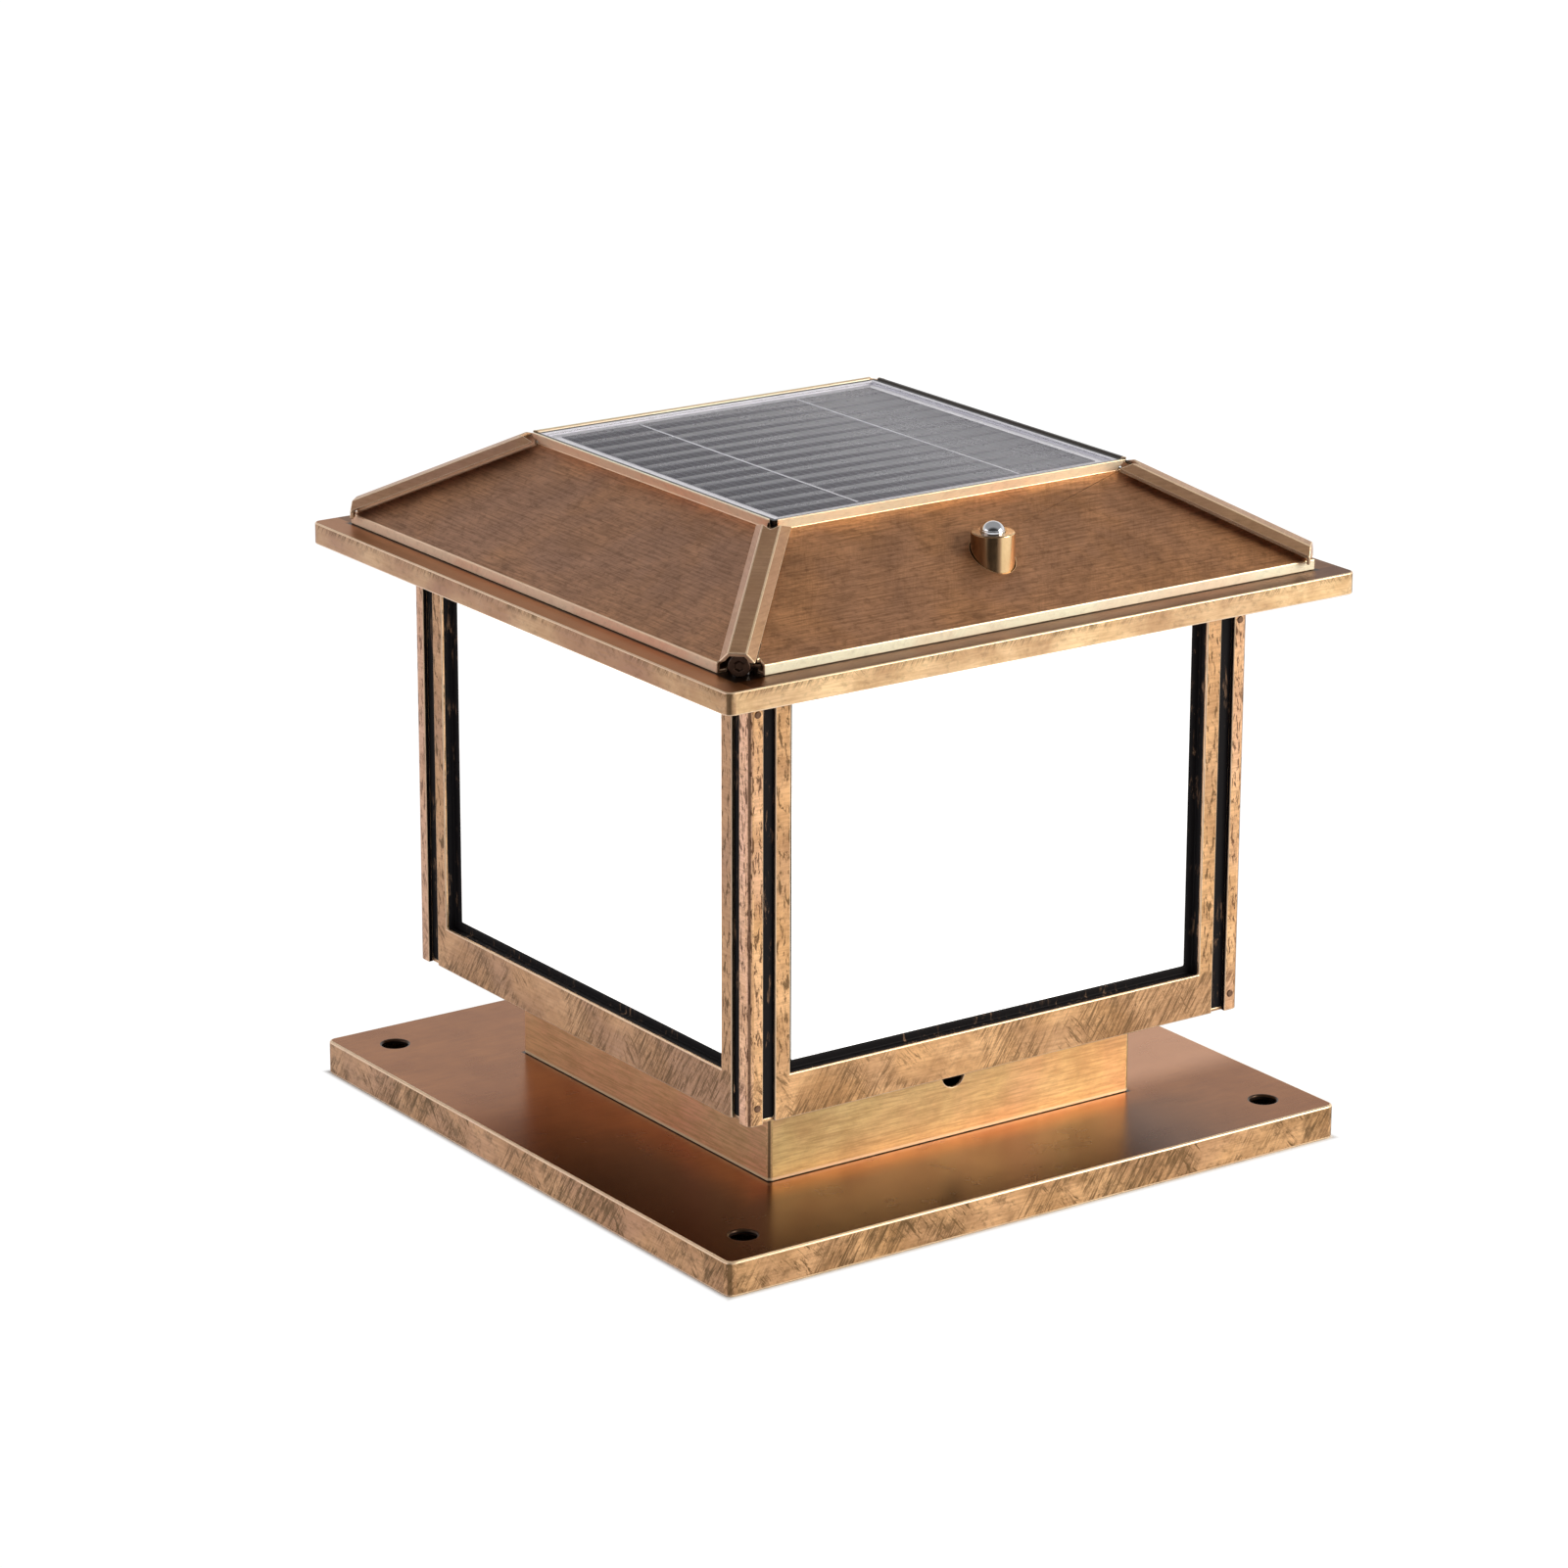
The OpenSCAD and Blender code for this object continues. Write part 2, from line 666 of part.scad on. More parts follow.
// Slope of the front side: a band and a foot below, a rim above and a flange up each hip.
// Its left end is open under the rib, its right end is closed
module slope_sheet() {
    low = -roof_w / 2;
    outline = [[low, eave_top], [low, band_top], fold, rim_top, [-rim_inner(rim_top[1]), rim_top[1]],
        fold_inner, [low + sheet_t, slope_inner_z], [low + sheet_t, eave_top + sheet_t],
        [low + foot_w, eave_top + sheet_t], [low + foot_w, eave_top]];
    reach = roof_w / 2 + 5;
    gap = hip_gap / sqrt(2);
    fold_corner = top_w / sqrt(2);
    difference() {
        union() {
            intersection() {
                along_x(roof_w + 2 * over) polygon(outline);
                translate([0, 0, eave_top - over]) linear_extrude(height = rim_top[1] - eave_top + 2 * over)
                    polygon([[-reach + gap, -reach], [reach - gap, -reach], [0, -gap]]);
            }
            for (m = [0, 1]) mirror([m, 0, 0]) rotate([0, 0, 225]) hip_flange(fold_corner, seam_end);
        }
        // the rims leave a gap at the corners of the top
        for (m = [0, 1]) mirror([m, 0, 0]) rotate([0, 0, 225])
            block([fold_corner - 8, -rim_gap, fold_z + 0.2],
                [fold_corner + 8, rim_gap / 2, fold_z + 2 * rim_h]);
        // the band, the foot and the flange stop short of the open corner
        block([-roof_w / 2 - over, low - over, eave_top - over],
            [-roof_w / 2 + band_cut, low + band_gap, band_top + band_gap]);
        block([-roof_w / 2 - over, low - over, eave_top - over],
            [-roof_w / 2 + band_cut, low + foot_w + over, eave_top + sheet_t]);
        rotate([0, 0, 225]) block([hip_notch, -notch_half, eave_top - over],
            [roof_w, notch_half, band_top + slope_rise]);
        for (x = [-roof_screw_x, roof_screw_x]) translate([x, -roof_screw_y, eave_top - over])
            cylinder(r = m3_r + tap_gap, h = sheet_t + 2 * over);
    }
}

// Upright flange of a slope along the hip that lies along +X
module hip_flange(from, to) {
    translate([0, hip_gap / 2 + sheet_t, 0]) rotate([90, 0, 0]) linear_extrude(height = sheet_t)
        polygon([[from, hip_z(from) - sheet_t], [to, hip_z(to) - sheet_t],
            [to, hip_z(to) + seam_top], [from, hip_z(from) + seam_top]]);
}

module slope_front() {
    color(dark_bronze) difference() {
        slope_sheet();
        translate([0, -switch_y, eave_top]) cylinder(r = boss_d / 2 + 0.2, h = slope_rise + band_h);
    }
}

module slope_plain() {
    color(dark_bronze) slope_sheet();
}

// Part of a square pyramid: its half width is low_half at low_z and high_half at high_z
module pyramid_part(low_z, low_half, high_z, high_half) {
    outline = [[-low_half, low_z], [low_half, low_z], [high_half, high_z], [-high_half, high_z]];
    long = 3 * max(low_half, high_half);
    intersection() {
        along_x(long) polygon(outline);
        side(1) along_x(long) polygon(outline);
    }
}

// The space inside the folded rim's outer faces, widened by a gap
module rim_space(gap) {
    low = fold_z - 4;
    high = fold_z + 12;
    pyramid_part(low, top_w / 2 + gap + (low - fold_z) * tan(slope_deg),
        high, top_w / 2 + gap + (high - fold_z) * tan(slope_deg));
}

// Rib over the hip that lies along +X: a strip with two flared walls, open below
module rib_strip() {
    top = rib_top_w / 2;
    foot = rib_foot_w / 2;
    low = rib_h - rib_drop;
    flare = (foot - top) / rib_drop;
    wall = rib_t * sqrt(1 + flare * flare);
    inner_top = top + rib_t * flare - wall;
    length = slope_run * sqrt(2) / cos(hip_deg);
    intersection() {
        translate([roof_w / sqrt(2), 0, band_top])
            rotate([0, hip_deg, 0]) rotate([90, 0, -90])
                translate([0, 0, -rib_spare]) linear_extrude(height = length + 2 * rib_spare)
                    polygon([[-foot, low], [-top, rib_h], [top, rib_h], [foot, low], [foot - wall, low],
                        [inner_top, rib_h - rib_t], [-inner_top, rib_h - rib_t], [-foot + wall, low]]);
        block([0, -rib_spare, eave_top], [rib_end, rib_spare, rim_top[1] + 0.4]);
    }
}

module rib_cap() {
    difference() {
        rib_strip();
        rotate([0, 0, 45]) rim_space(rib_gap);
    }
}

// Rib over an open corner, with a tab for its screw
module rib_open() {
    tab_half = 2.4;
    neck_half = 1.5;
    step_z = block_top - 1;
    color(light_bronze) difference() {
        union() {
            rib_cap();
            block([tab_at, -neck_half, step_z],
                [tab_at + rib_t, neck_half, hip_z(tab_at) + seam_top + rib_t / 2]);
            block([tab_at, -tab_half, eave_top + 0.6], [tab_at + rib_t, tab_half, step_z]);
        }
        translate([tab_at - over, 0, band_top]) rotate([0, 90, 0])
            cylinder(r = m3_r + screw_gap, h = rib_t + 2 * over);
    }
}

// Rib over a closed corner, with a plate across its lower end that clears the slopes' corner
module rib_closed() {
    top = rib_top_w / 2;
    foot = rib_foot_w / 2;
    ridge = hip_z(rib_end - rib_t) + 0.15;
    ridge_half = roof_w / sqrt(2) - rib_end + rib_t + 0.3;
    peak = hip_z(rib_end) + rib_h / cos(hip_deg);
    wall_low = hip_z(rib_end) + (rib_h - rib_drop) / cos(hip_deg);
    low = band_top - 0.5;
    color(light_bronze) {
        rib_cap();
        translate([rib_end - rib_t, 0, 0]) rotate([90, 0, 90]) linear_extrude(height = rib_t)
            polygon([[-foot, wall_low], [-top, peak], [top, peak], [foot, wall_low], [foot, low],
                [ridge_half, low], [ridge_half, ridge], [-ridge_half, ridge], [-ridge_half, low],
                [-foot, low]]);
    }
}

// The front left and back right hips, whose corners are open
module at_open_hips() {
    for (a = [45, 225]) rotate([0, 0, a]) children();
}

module hip_blocks() {
    color(steel) at_open_hips() difference() {
        block([tab_at - block_len, -block_half, eave_top], [tab_at, block_half, block_top]);
        translate([tab_at - rib_screw_grip - 0.2, 0, band_top]) rotate([0, 90, 0])
            cylinder(r = m3_r + tap_gap, h = rib_screw_grip + 0.2 + over);
        translate([block_screw_at, 0, eave_top - over]) cylinder(r = m3_r + tap_gap, h = block_hole + over);
    }
}

module rib_screws() {
    color(steel) at_open_hips() translate([tab_at + rib_t, 0, band_top]) rotate([0, 90, 0])
        screw(m3_r, rib_head_d / 2, m3_head_h, rib_t + rib_screw_grip);
}

module roof_screws() {
    length = 2 * sheet_t + roof_grip;
    color(steel) {
        for (i = [0:3]) side(i) for (x = [-roof_screw_x, roof_screw_x])
            translate([x, -roof_screw_y, ceiling]) rotate([180, 0, 0])
                screw(m3_r, m3_head_r, m3_head_h, length);
        at_open_hips() translate([block_screw_at, 0, ceiling]) rotate([180, 0, 0])
            screw(m3_r, m3_head_r, m3_head_h, sheet_t + block_grip);
    }
}

// Deck under the solar panel, with flanges that lie against the slopes' undersides
module top_deck() {
    low = solar_low - deck_flange;
    color(bronze) difference() {
        pyramid_part(low, deck_half(low), solar_low, deck_half(solar_low));
        pyramid_part(low - over, deck_half(low - over) - deck_side, solar_low - sheet_t,
            deck_half(solar_low - sheet_t) - deck_side);
        translate([solar_wire[0], solar_wire[1], solar_low - sheet_t - over])
            cylinder(r = cable_d / 2 + 1, h = sheet_t + 2 * over);
    }
}

module solar_backboard() {
    color("white") block([-solar_w / 2, -solar_w / 2, solar_low], [solar_w / 2, solar_w / 2, cells_z]);
}

module solar_cells() {
    pitch = cell_field / cell_count;
    color(cell_grey) for (i = [0:cell_count - 1])
        block([-cell_field / 2, -cell_field / 2 + i * pitch + cell_gap / 2, cells_z],
            [cell_field / 2, -cell_field / 2 + (i + 1) * pitch - cell_gap / 2, cover_z]);
}

// Clear cover, cast over the cells and down to the backboard's border
module solar_cover() {
    recess = cell_field / 2 + 0.1;
    color([0.8, 0.8, 0.9, 0.4]) difference() {
        block([-solar_w / 2, -solar_w / 2, cells_z], [solar_w / 2, solar_w / 2, solar_top]);
        block([-recess, -recess, cells_z - over], [recess, recess, cover_z]);
    }
}

// Sealant between the solar panel and the rim
module panel_seal() {
    top = solar_top - 0.4;
    hole = solar_w / 2;
    color(black_rubber) difference() {
        pyramid_part(solar_low, rim_inner(solar_low), top, rim_inner(top));
        block([-hole, -hole, solar_low - over], [hole, hole, top + over]);
    }
}

module switch_tube() {
    color(brass) translate([0, -switch_y, 0]) difference() {
        translate([0, 0, eave_top]) cylinder(d = boss_d, h = boss_h);
        translate([0, 0, eave_top - over]) cylinder(r = well_r, h = boss_h - cap_bore_len + over);
        translate([0, 0, shoulder - over]) cylinder(r = cap_d / 2 + run_gap, h = cap_bore_len + 2 * over);
        translate([0, 0, cable_port_z]) rotate([-90, 0, 0]) cylinder(r = cable_d / 2 + 0.3, h = boss_d);
    }
}

// Push button: a domed cap, a collar that holds it in and a stem for the switch
module switch_button() {
    dome_h = cap_rise - 0.7;
    dome_r = (pow(cap_d / 2, 2) + dome_h * dome_h) / (2 * dome_h);
    color(chrome) translate([0, -switch_y, 0]) {
        translate([0, 0, collar_low]) cylinder(r = collar_r, h = collar_h);
        translate([0, 0, collar_low]) cylinder(d = cap_d, h = cap_top - dome_h - collar_low);
        intersection() {
            translate([0, 0, cap_top - dome_r]) sphere(r = dome_r);
            translate([0, 0, cap_top - dome_h - 0.5]) cylinder(d = cap_d, h = dome_h + 1);
        }
        translate([0, 0, stem_low]) cylinder(r = stem_r, h = collar_low - stem_low + 0.5);
    }
}

// Return spring between the switch and the button's collar, with its ends cut flat
module switch_spring() {
    per_turn = 12;
    rise = spring_len - spring_wire;
    n = spring_turns * per_turn;
    pts = [for (i = [0:n]) let (a = 360 * i / per_turn)
        [spring_r * cos(a), spring_r * sin(a), spring_low + spring_wire / 2 + rise * i / n]];
    color(steel) translate([0, -switch_y, 0]) swept(pts, spring_wire / 2, [0, 0, 1], 6);
}

module switch_body() {
    color(black_rubber) translate([0, -switch_y, 0]) {
        translate([0, 0, eave_top]) cylinder(r = switch_r, h = spring_low - eave_top);
        translate([0, 0, spring_low - 0.5]) cylinder(r = stem_r, h = 0.8);
    }
}

// Battery holder: a floor, outer walls and a low wall between the two cells
module battery_holder() {
    mid = holder_y;
    z = eave_top;
    wall = holder_t;
    half = battery_d / 2 + 0.1;
    color(black_rubber) difference() {
        union() {
            difference() {
                block([-holder_l / 2, mid - holder_w / 2, z],
                    [holder_l / 2, mid + holder_w / 2, z + holder_h]);
                for (s = [-1, 1])
                    block([-holder_l / 2 + wall, mid + s * battery_y - half, z + wall],
                        [holder_l / 2 - wall, mid + s * battery_y + half, z + holder_h + over]);
            }
            for (s = [-1, 1]) translate([s * holder_screw_x, mid, z])
                cylinder(r = 2.3, h = holder_screw + 0.8);
        }
        for (s = [-1, 1]) translate([s * holder_screw_x, mid, z - over])
            cylinder(r = m3_r + tap_gap, h = holder_screw + 0.2 + over);
    }
}

module battery_cells() {
    color([0.25, 0.42, 0.62]) for (s = [-1, 1])
        translate([-battery_len / 2, holder_y + s * battery_y, eave_top + holder_t + battery_d / 2])
            rotate([0, 90, 0]) cylinder(d = battery_d, h = battery_len);
}

// Control board with its plugs, chip, coil and capacitor soldered on
module control_board() {
    half_l = board_l / 2;
    low_z = board_top - sunk_in;
    low_y = board_y - board_w / 2;
    high_y = board_y + board_w / 2;
    color(board_green) difference() {
        union() {
            block([-half_l, low_y, board_z], [half_l, high_y, board_top]);
            for (x = [-plug_x, plug_x])
                block([x - plug_w / 2, plug_back - plug_depth, low_z],
                    [x + plug_w / 2, plug_back, board_top + socket_h]);
            block([-plug_w / 2, plug_front, low_z],
                [plug_w / 2, plug_front + plug_depth, board_top + socket_h]);
            block([solar_wire[0] - plug_w / 2, solar_wire[1] - plug_depth, low_z],
                [solar_wire[0] + plug_w / 2, solar_wire[1] + 2, solar_plug_top]);
            translate([chip_x, board_y, low_z]) cube_on(chip_l, chip_l, chip_h + sunk_in);
            translate([cap_can_at[0], cap_can_at[1], low_z]) cylinder(d = cap_can_d, h = cap_can_h + sunk_in);
            translate([coil_at[0], coil_at[1], low_z]) cube_on(coil_w, coil_w, coil_h + sunk_in);
        }
        for (x = [-board_hole_x, board_hole_x]) for (y = [-board_hole_y, board_hole_y])
            translate([x, board_y + y, board_z - over])
                cylinder(r = m3_r + screw_gap, h = board_t + 2 * over);
    }
}

module board_screws() {
    color(steel) {
        for (x = [-board_hole_x, board_hole_x]) for (y = [-board_hole_y, board_hole_y])
            translate([x, board_y + y, board_top]) screw(m3_r, m3_head_r, m3_head_h, board_t + spacer_h);
        for (s = [-1, 1]) translate([s * holder_screw_x, holder_y, ceiling])
            rotate([180, 0, 0]) screw(m3_r, m3_head_r, m3_head_h, sheet_t + holder_screw);
        for (a = lamp_screw_turns) rotate([0, 0, a]) translate([lamp_screw_ring / 2, 0, ceiling - board_t])
            rotate([180, 0, 0]) screw(m3_r, m3_head_r, m3_head_h, board_t + sheet_t + 2);
    }
}

module lamp_board() {
    color("white") difference() {
        translate([0, 0, ceiling - board_t]) cylinder(d = lamp_d, h = board_t);
        for (a = lamp_screw_turns) rotate([0, 0, a])
            translate([lamp_screw_ring / 2, 0, ceiling - board_t - over])
                cylinder(r = m3_r + screw_gap, h = board_t + 2 * over);
        for (x = [-1, 1]) translate([x * holder_screw_x, holder_y, ceiling - board_t - over])
            cylinder(r = m3_head_r + 0.5, h = board_t + 2 * over);
    }
}

module lamp_diodes() {
    color("khaki") for (i = [0:lamp_count - 1]) rotate([0, 0, 360 * i / lamp_count])
        translate([lamp_ring / 2, 0, ceiling - board_t - 0.4]) cube([3.5, 2.8, 0.8], center = true);
}

module solar_cable() {
    color("firebrick") swept(curve(solar_route, 3), cable_d / 2, [0, 1, 0]);
}

module battery_cable() {
    color("firebrick") swept(curve(battery_route, 3), cable_d / 2, [0, 0, 1]);
}

module lamp_cable() {
    color("firebrick") swept(curve(lamp_route, 3), cable_d / 2, [1, 0.4, 0]);
}

module switch_cable() {
    color("firebrick") swept(curve(switch_route, 3), cable_d / 2, [0, 0, 1]);
}

base_plate();
neck();
neck_fasteners();
floor_tray();
floor_fasteners();
window_frame();  // frame_front
side(1) window_frame();  // frame_right
side(2) window_frame();  // frame_back
side(3) window_frame();  // frame_left
window_gasket();  // gasket_front
side(1) window_gasket();  // gasket_right
side(2) window_gasket();  // gasket_back
side(3) window_gasket();  // gasket_left
window_panel();  // panel_front
side(1) window_panel();  // panel_right
side(2) window_panel();  // panel_back
side(3) window_panel();  // panel_left
corner_post();  // post_front_left
mirror([1, 0, 0]) corner_post();  // post_front_right
side(2) corner_post();  // post_back_right
mirror([0, 1, 0]) corner_post();  // post_back_left
corner_bar();  // corner_bar_front_left
mirror([1, 0, 0]) corner_bar();  // corner_bar_front_right
side(2) corner_bar();  // corner_bar_back_right
mirror([0, 1, 0]) corner_bar();  // corner_bar_back_left
post_rivets();
bar_screws();
panel_clips();
eave_tray();
slope_front();
side(1) mirror([1, 0, 0]) slope_plain();  // slope_right
side(2) slope_plain();  // slope_back
side(3) mirror([1, 0, 0]) slope_plain();  // slope_left
rotate([0, 0, 225]) rib_open();  // hip_rib_front_left
rotate([0, 0, 315]) rib_closed();  // hip_rib_front_right
rotate([0, 0, 45]) rib_open();  // hip_rib_back_right
rotate([0, 0, 135]) rib_closed();  // hip_rib_back_left
hip_blocks();
rib_screws();
roof_screws();
top_deck();
solar_backboard();
solar_cells();
solar_cover();
panel_seal();
switch_tube();
switch_button();
switch_spring();
switch_body();
battery_holder();
battery_cells();
control_board();
board_screws();
lamp_board();
lamp_diodes();
solar_cable();
battery_cable();
lamp_cable();
switch_cable();
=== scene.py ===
# %% [markdown]
# # A solar pillar light
# The light stands on a brick or stone pier. Folded sheet metal in antiqued bronze holds four lit
# opal windows, and the flat top of its roof is a solar panel. This file takes the exact model of
# the light, gives every visible edge its small radius, gives each surface its finish, and lights
# it in a plain studio.

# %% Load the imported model
import math

import bmesh
import bpy
import numpy as np
from mathutils import Matrix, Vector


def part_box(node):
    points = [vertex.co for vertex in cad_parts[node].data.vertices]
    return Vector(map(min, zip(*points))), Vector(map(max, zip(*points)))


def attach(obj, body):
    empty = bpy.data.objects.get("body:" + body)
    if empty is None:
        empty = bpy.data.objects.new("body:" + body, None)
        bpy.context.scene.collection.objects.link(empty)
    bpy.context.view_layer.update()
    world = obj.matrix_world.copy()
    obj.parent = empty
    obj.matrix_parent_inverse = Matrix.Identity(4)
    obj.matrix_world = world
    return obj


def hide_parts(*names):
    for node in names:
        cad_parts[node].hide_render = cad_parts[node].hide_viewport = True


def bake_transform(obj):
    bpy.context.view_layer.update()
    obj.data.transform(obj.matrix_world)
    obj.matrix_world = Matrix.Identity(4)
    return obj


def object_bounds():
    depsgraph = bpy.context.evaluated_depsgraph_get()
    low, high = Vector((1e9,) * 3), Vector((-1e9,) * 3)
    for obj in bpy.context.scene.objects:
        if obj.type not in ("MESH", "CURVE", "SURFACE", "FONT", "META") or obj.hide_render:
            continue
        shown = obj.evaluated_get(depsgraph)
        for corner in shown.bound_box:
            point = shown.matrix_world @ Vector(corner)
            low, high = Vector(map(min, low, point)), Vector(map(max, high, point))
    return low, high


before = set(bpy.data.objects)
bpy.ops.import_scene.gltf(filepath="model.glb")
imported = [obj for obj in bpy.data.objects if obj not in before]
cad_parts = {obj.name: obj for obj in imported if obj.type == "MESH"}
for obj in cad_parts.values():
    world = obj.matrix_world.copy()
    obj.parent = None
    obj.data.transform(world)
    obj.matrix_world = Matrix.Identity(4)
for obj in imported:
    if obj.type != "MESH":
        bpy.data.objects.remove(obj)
cad_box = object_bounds()
size = cad_box[1] - cad_box[0]
print("nodes:", len(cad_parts), "size in mm:", [round(1000 * s, 1) for s in size])


def shown(name, data, *columns):
    """A new object in the scene with a mesh, camera or lamp as its data. The four columns of its
    matrix, where they are given, are its three axes and its place."""
    item = bpy.data.objects.new(name, data)
    bpy.context.scene.collection.objects.link(item)
    if columns:
        pose = np.eye(4)
        pose[:3] = np.column_stack(columns)
        item.matrix_world = Matrix(pose.tolist())
    return item


# %% [markdown]
# ## The camera
# A product photograph is taken with a long lens, so its perspective is weak. The values below were
# worked out from where the corners of the base, the eave and the windows lie in the picture. The
# camera's three axes are found with cross products, which is easier to follow than Euler angles.

# %% Camera at the photograph's angle
PHOTO_PX, FOCAL_PX = 1601, 5639.5  # the photograph's width and the focal length, in pixels
LOOK_ASIDE, LOOK_HEIGHT, DISTANCE = -0.01381, 0.11595, 1.8766  # the point looked at, and how far
azimuth, elevation, roll = (math.radians(v) for v in (-34.963, 17.438, 0.145))
back = np.array([math.sin(azimuth) * math.cos(elevation),
                 -math.cos(azimuth) * math.cos(elevation), math.sin(elevation)])
level = np.array([math.cos(azimuth), math.sin(azimuth), 0.0])
upward = np.cross(back, level)
right_axis = level * math.cos(roll) + upward * math.sin(roll)
up_axis = upward * math.cos(roll) - level * math.sin(roll)
place = LOOK_ASIDE * level + np.array([0.0, 0.0, LOOK_HEIGHT]) + DISTANCE * back

camera_data = bpy.data.cameras.new("photo_camera")
camera_data.sensor_fit = "HORIZONTAL"
camera_data.sensor_width = 36.0
camera_data.lens = FOCAL_PX / PHOTO_PX * camera_data.sensor_width
camera_data.clip_start, camera_data.clip_end = 0.05, 50.0
bpy.context.scene.camera = shown("photo_camera", camera_data, right_axis, up_axis, back, place)
bpy.context.scene.view_settings.view_transform = "Standard"
print("lens in mm:", round(camera_data.lens, 1), "camera at", np.round(place, 3))

# %% [markdown]
# ## Node helpers
# Every finish is a small network of shader nodes. Small helpers keep the networks short: they add
# a node with its settings, join two sockets, make a group with named sockets, or give a product, a
# smooth step, a blend of colours or a noise.

# %% Helpers for shader networks
def add(tree, kind, settings=None, **inputs):
    """One node of a kind. `settings` are attributes of the node, and the other words are input
    values by socket name, with _ for a blank."""
    node = tree.nodes.new(kind)
    for key, value in (settings or {}).items():
        setattr(node, key, value)
    for key, value in inputs.items():
        node.inputs[key.replace("_", " ")].default_value = value
    return node


def join(tree, source, target):
    """A link from an output socket to an input socket."""
    tree.links.new(source, target)


def feed(tree, node, values):
    """Gives numbered inputs of a node their values: a socket is joined, a constant is written, and
    None leaves the input as it is."""
    for index, value in values.items():
        if isinstance(value, bpy.types.NodeSocket):
            join(tree, value, node.inputs[index])
        elif value is not None:
            node.inputs[index].default_value = value


def new_group(name, takes, gives):
    """A shader group, its entry and its exit. `takes` lists (name, socket kind, starting value) and
    `gives` lists (name, socket kind)."""
    group = bpy.data.node_groups.new(name, "ShaderNodeTree")
    for label, kind, value in takes:
        socket = group.interface.new_socket(name=label, in_out="INPUT", socket_type=kind)
        socket.default_value = value
    for label, kind in gives:
        group.interface.new_socket(name=label, in_out="OUTPUT", socket_type=kind)
    return group, group.nodes.new("NodeGroupInput"), group.nodes.new("NodeGroupOutput")


FLOAT, COLOUR, VECTOR = "NodeSocketFloat", "NodeSocketColor", "NodeSocketVector"
FINISH_GIVES = [("Colour", COLOUR), ("Roughness", FLOAT), ("Height", FLOAT)]


def maths(tree, operation, first, second=None, clamp=False):
    """The output of a maths node on two sockets or numbers."""
    node = add(tree, "ShaderNodeMath", {"operation": operation, "use_clamp": clamp})
    feed(tree, node, {0: first, 1: second})
    return node.outputs[0]


def times(tree, *factors):
    """The product of two or more sockets or numbers."""
    product = factors[0]
    for factor in factors[1:]:
        product = maths(tree, "MULTIPLY", product, factor)
    return product


def opposite(tree, share):
    """1 minus a share."""
    return maths(tree, "SUBTRACT", 1.0, share)


def place_in(tree):
    """The place of the point in metres, in the piece's own coordinates."""
    return add(tree, "ShaderNodeTexCoord").outputs["Object"]


def three_parts(tree, vector):
    """The three coordinates of a vector."""
    parts = add(tree, "ShaderNodeSeparateXYZ")
    join(tree, vector, parts.inputs[0])
    return parts.outputs


def vectors(tree, operation, first, second=None):
    """The output of a vector-maths node on two sockets or triples."""
    node = add(tree, "ShaderNodeVectorMath", {"operation": operation})
    feed(tree, node, {0: first, 1: second})
    return node.outputs["Value" if operation == "DOT_PRODUCT" else "Vector"]


def ramp(tree, source, low, high):
    """0 below `low`, 1 above `high` and smooth between them."""
    node = add(tree, "ShaderNodeMapRange", {"interpolation_type": "SMOOTHSTEP"},
               From_Min=low, From_Max=high)
    join(tree, source, node.inputs["Value"])
    return node.outputs["Result"]


def blend_colours(tree, share, first, second, mode="MIX"):
    """Colour `first` with `second` over it, by a share from 0 to 1."""
    node = add(tree, "ShaderNodeMix", {"data_type": "RGBA", "blend_type": mode})
    feed(tree, node, {0: share, 6: first, 7: second})
    return node.outputs[2]


def noise(tree, vector, scale, detail=3.0, roughness=0.5, distortion=0.0):
    """Fractal noise from 0 to 1 at a number of features to the metre."""
    node = add(tree, "ShaderNodeTexNoise", None, Scale=scale, Detail=detail, Roughness=roughness,
               Distortion=distortion)
    join(tree, vector, node.inputs["Vector"])
    return node.outputs["Fac"]


def patches(tree, low, high, *texture):
    """0 to 1 in soft patches: a noise with its words, and a smooth step on it."""
    return ramp(tree, noise(tree, *texture), low, high)


def stretched(tree, vector, scale, turn=0.0):
    """A vector turned about its third axis, in degrees, and then scaled."""
    node = add(tree, "ShaderNodeMapping", {"vector_type": "TEXTURE"})
    node.inputs["Rotation"].default_value = (0.0, 0.0, math.radians(turn))
    node.inputs["Scale"].default_value = tuple(1.0 / s for s in scale)
    join(tree, vector, node.inputs["Vector"])
    return node.outputs["Vector"]


print("helpers ready")

# %% [markdown]
# ## Which way a surface runs
# The sheet was brushed along its length before it was folded, so the brush marks run level on
# every face and on the slopes of the roof. Instead of unwrapping each piece, a group works out
# two directions from the face's normal: one level direction along the face, and one across it.
# The position measured along these two is a flat map in metres for any flat face.

# %% Group: a flat map of every face
flat_map, _, leave = new_group("flat_map", [], [("Map", VECTOR)])
spot = place_in(flat_map)
face_way = add(flat_map, "ShaderNodeNewGeometry").outputs["True Normal"]
sideways = vectors(flat_map, "CROSS_PRODUCT", face_way, (0.0, 0.0, 1.0))
sideways = vectors(flat_map, "ADD", sideways, (0.0013, 0.0, 0.0))
along_face = vectors(flat_map, "NORMALIZE", sideways)
across_face = vectors(flat_map, "CROSS_PRODUCT", face_way, along_face)
flat_point = add(flat_map, "ShaderNodeCombineXYZ")
for axis, way in enumerate((along_face, across_face, face_way)):
    join(flat_map, vectors(flat_map, "DOT_PRODUCT", spot, way), flat_point.inputs[axis])
join(flat_map, flat_point.outputs[0], leave.inputs["Map"])
print("flat_map:", len(flat_map.nodes), "nodes")

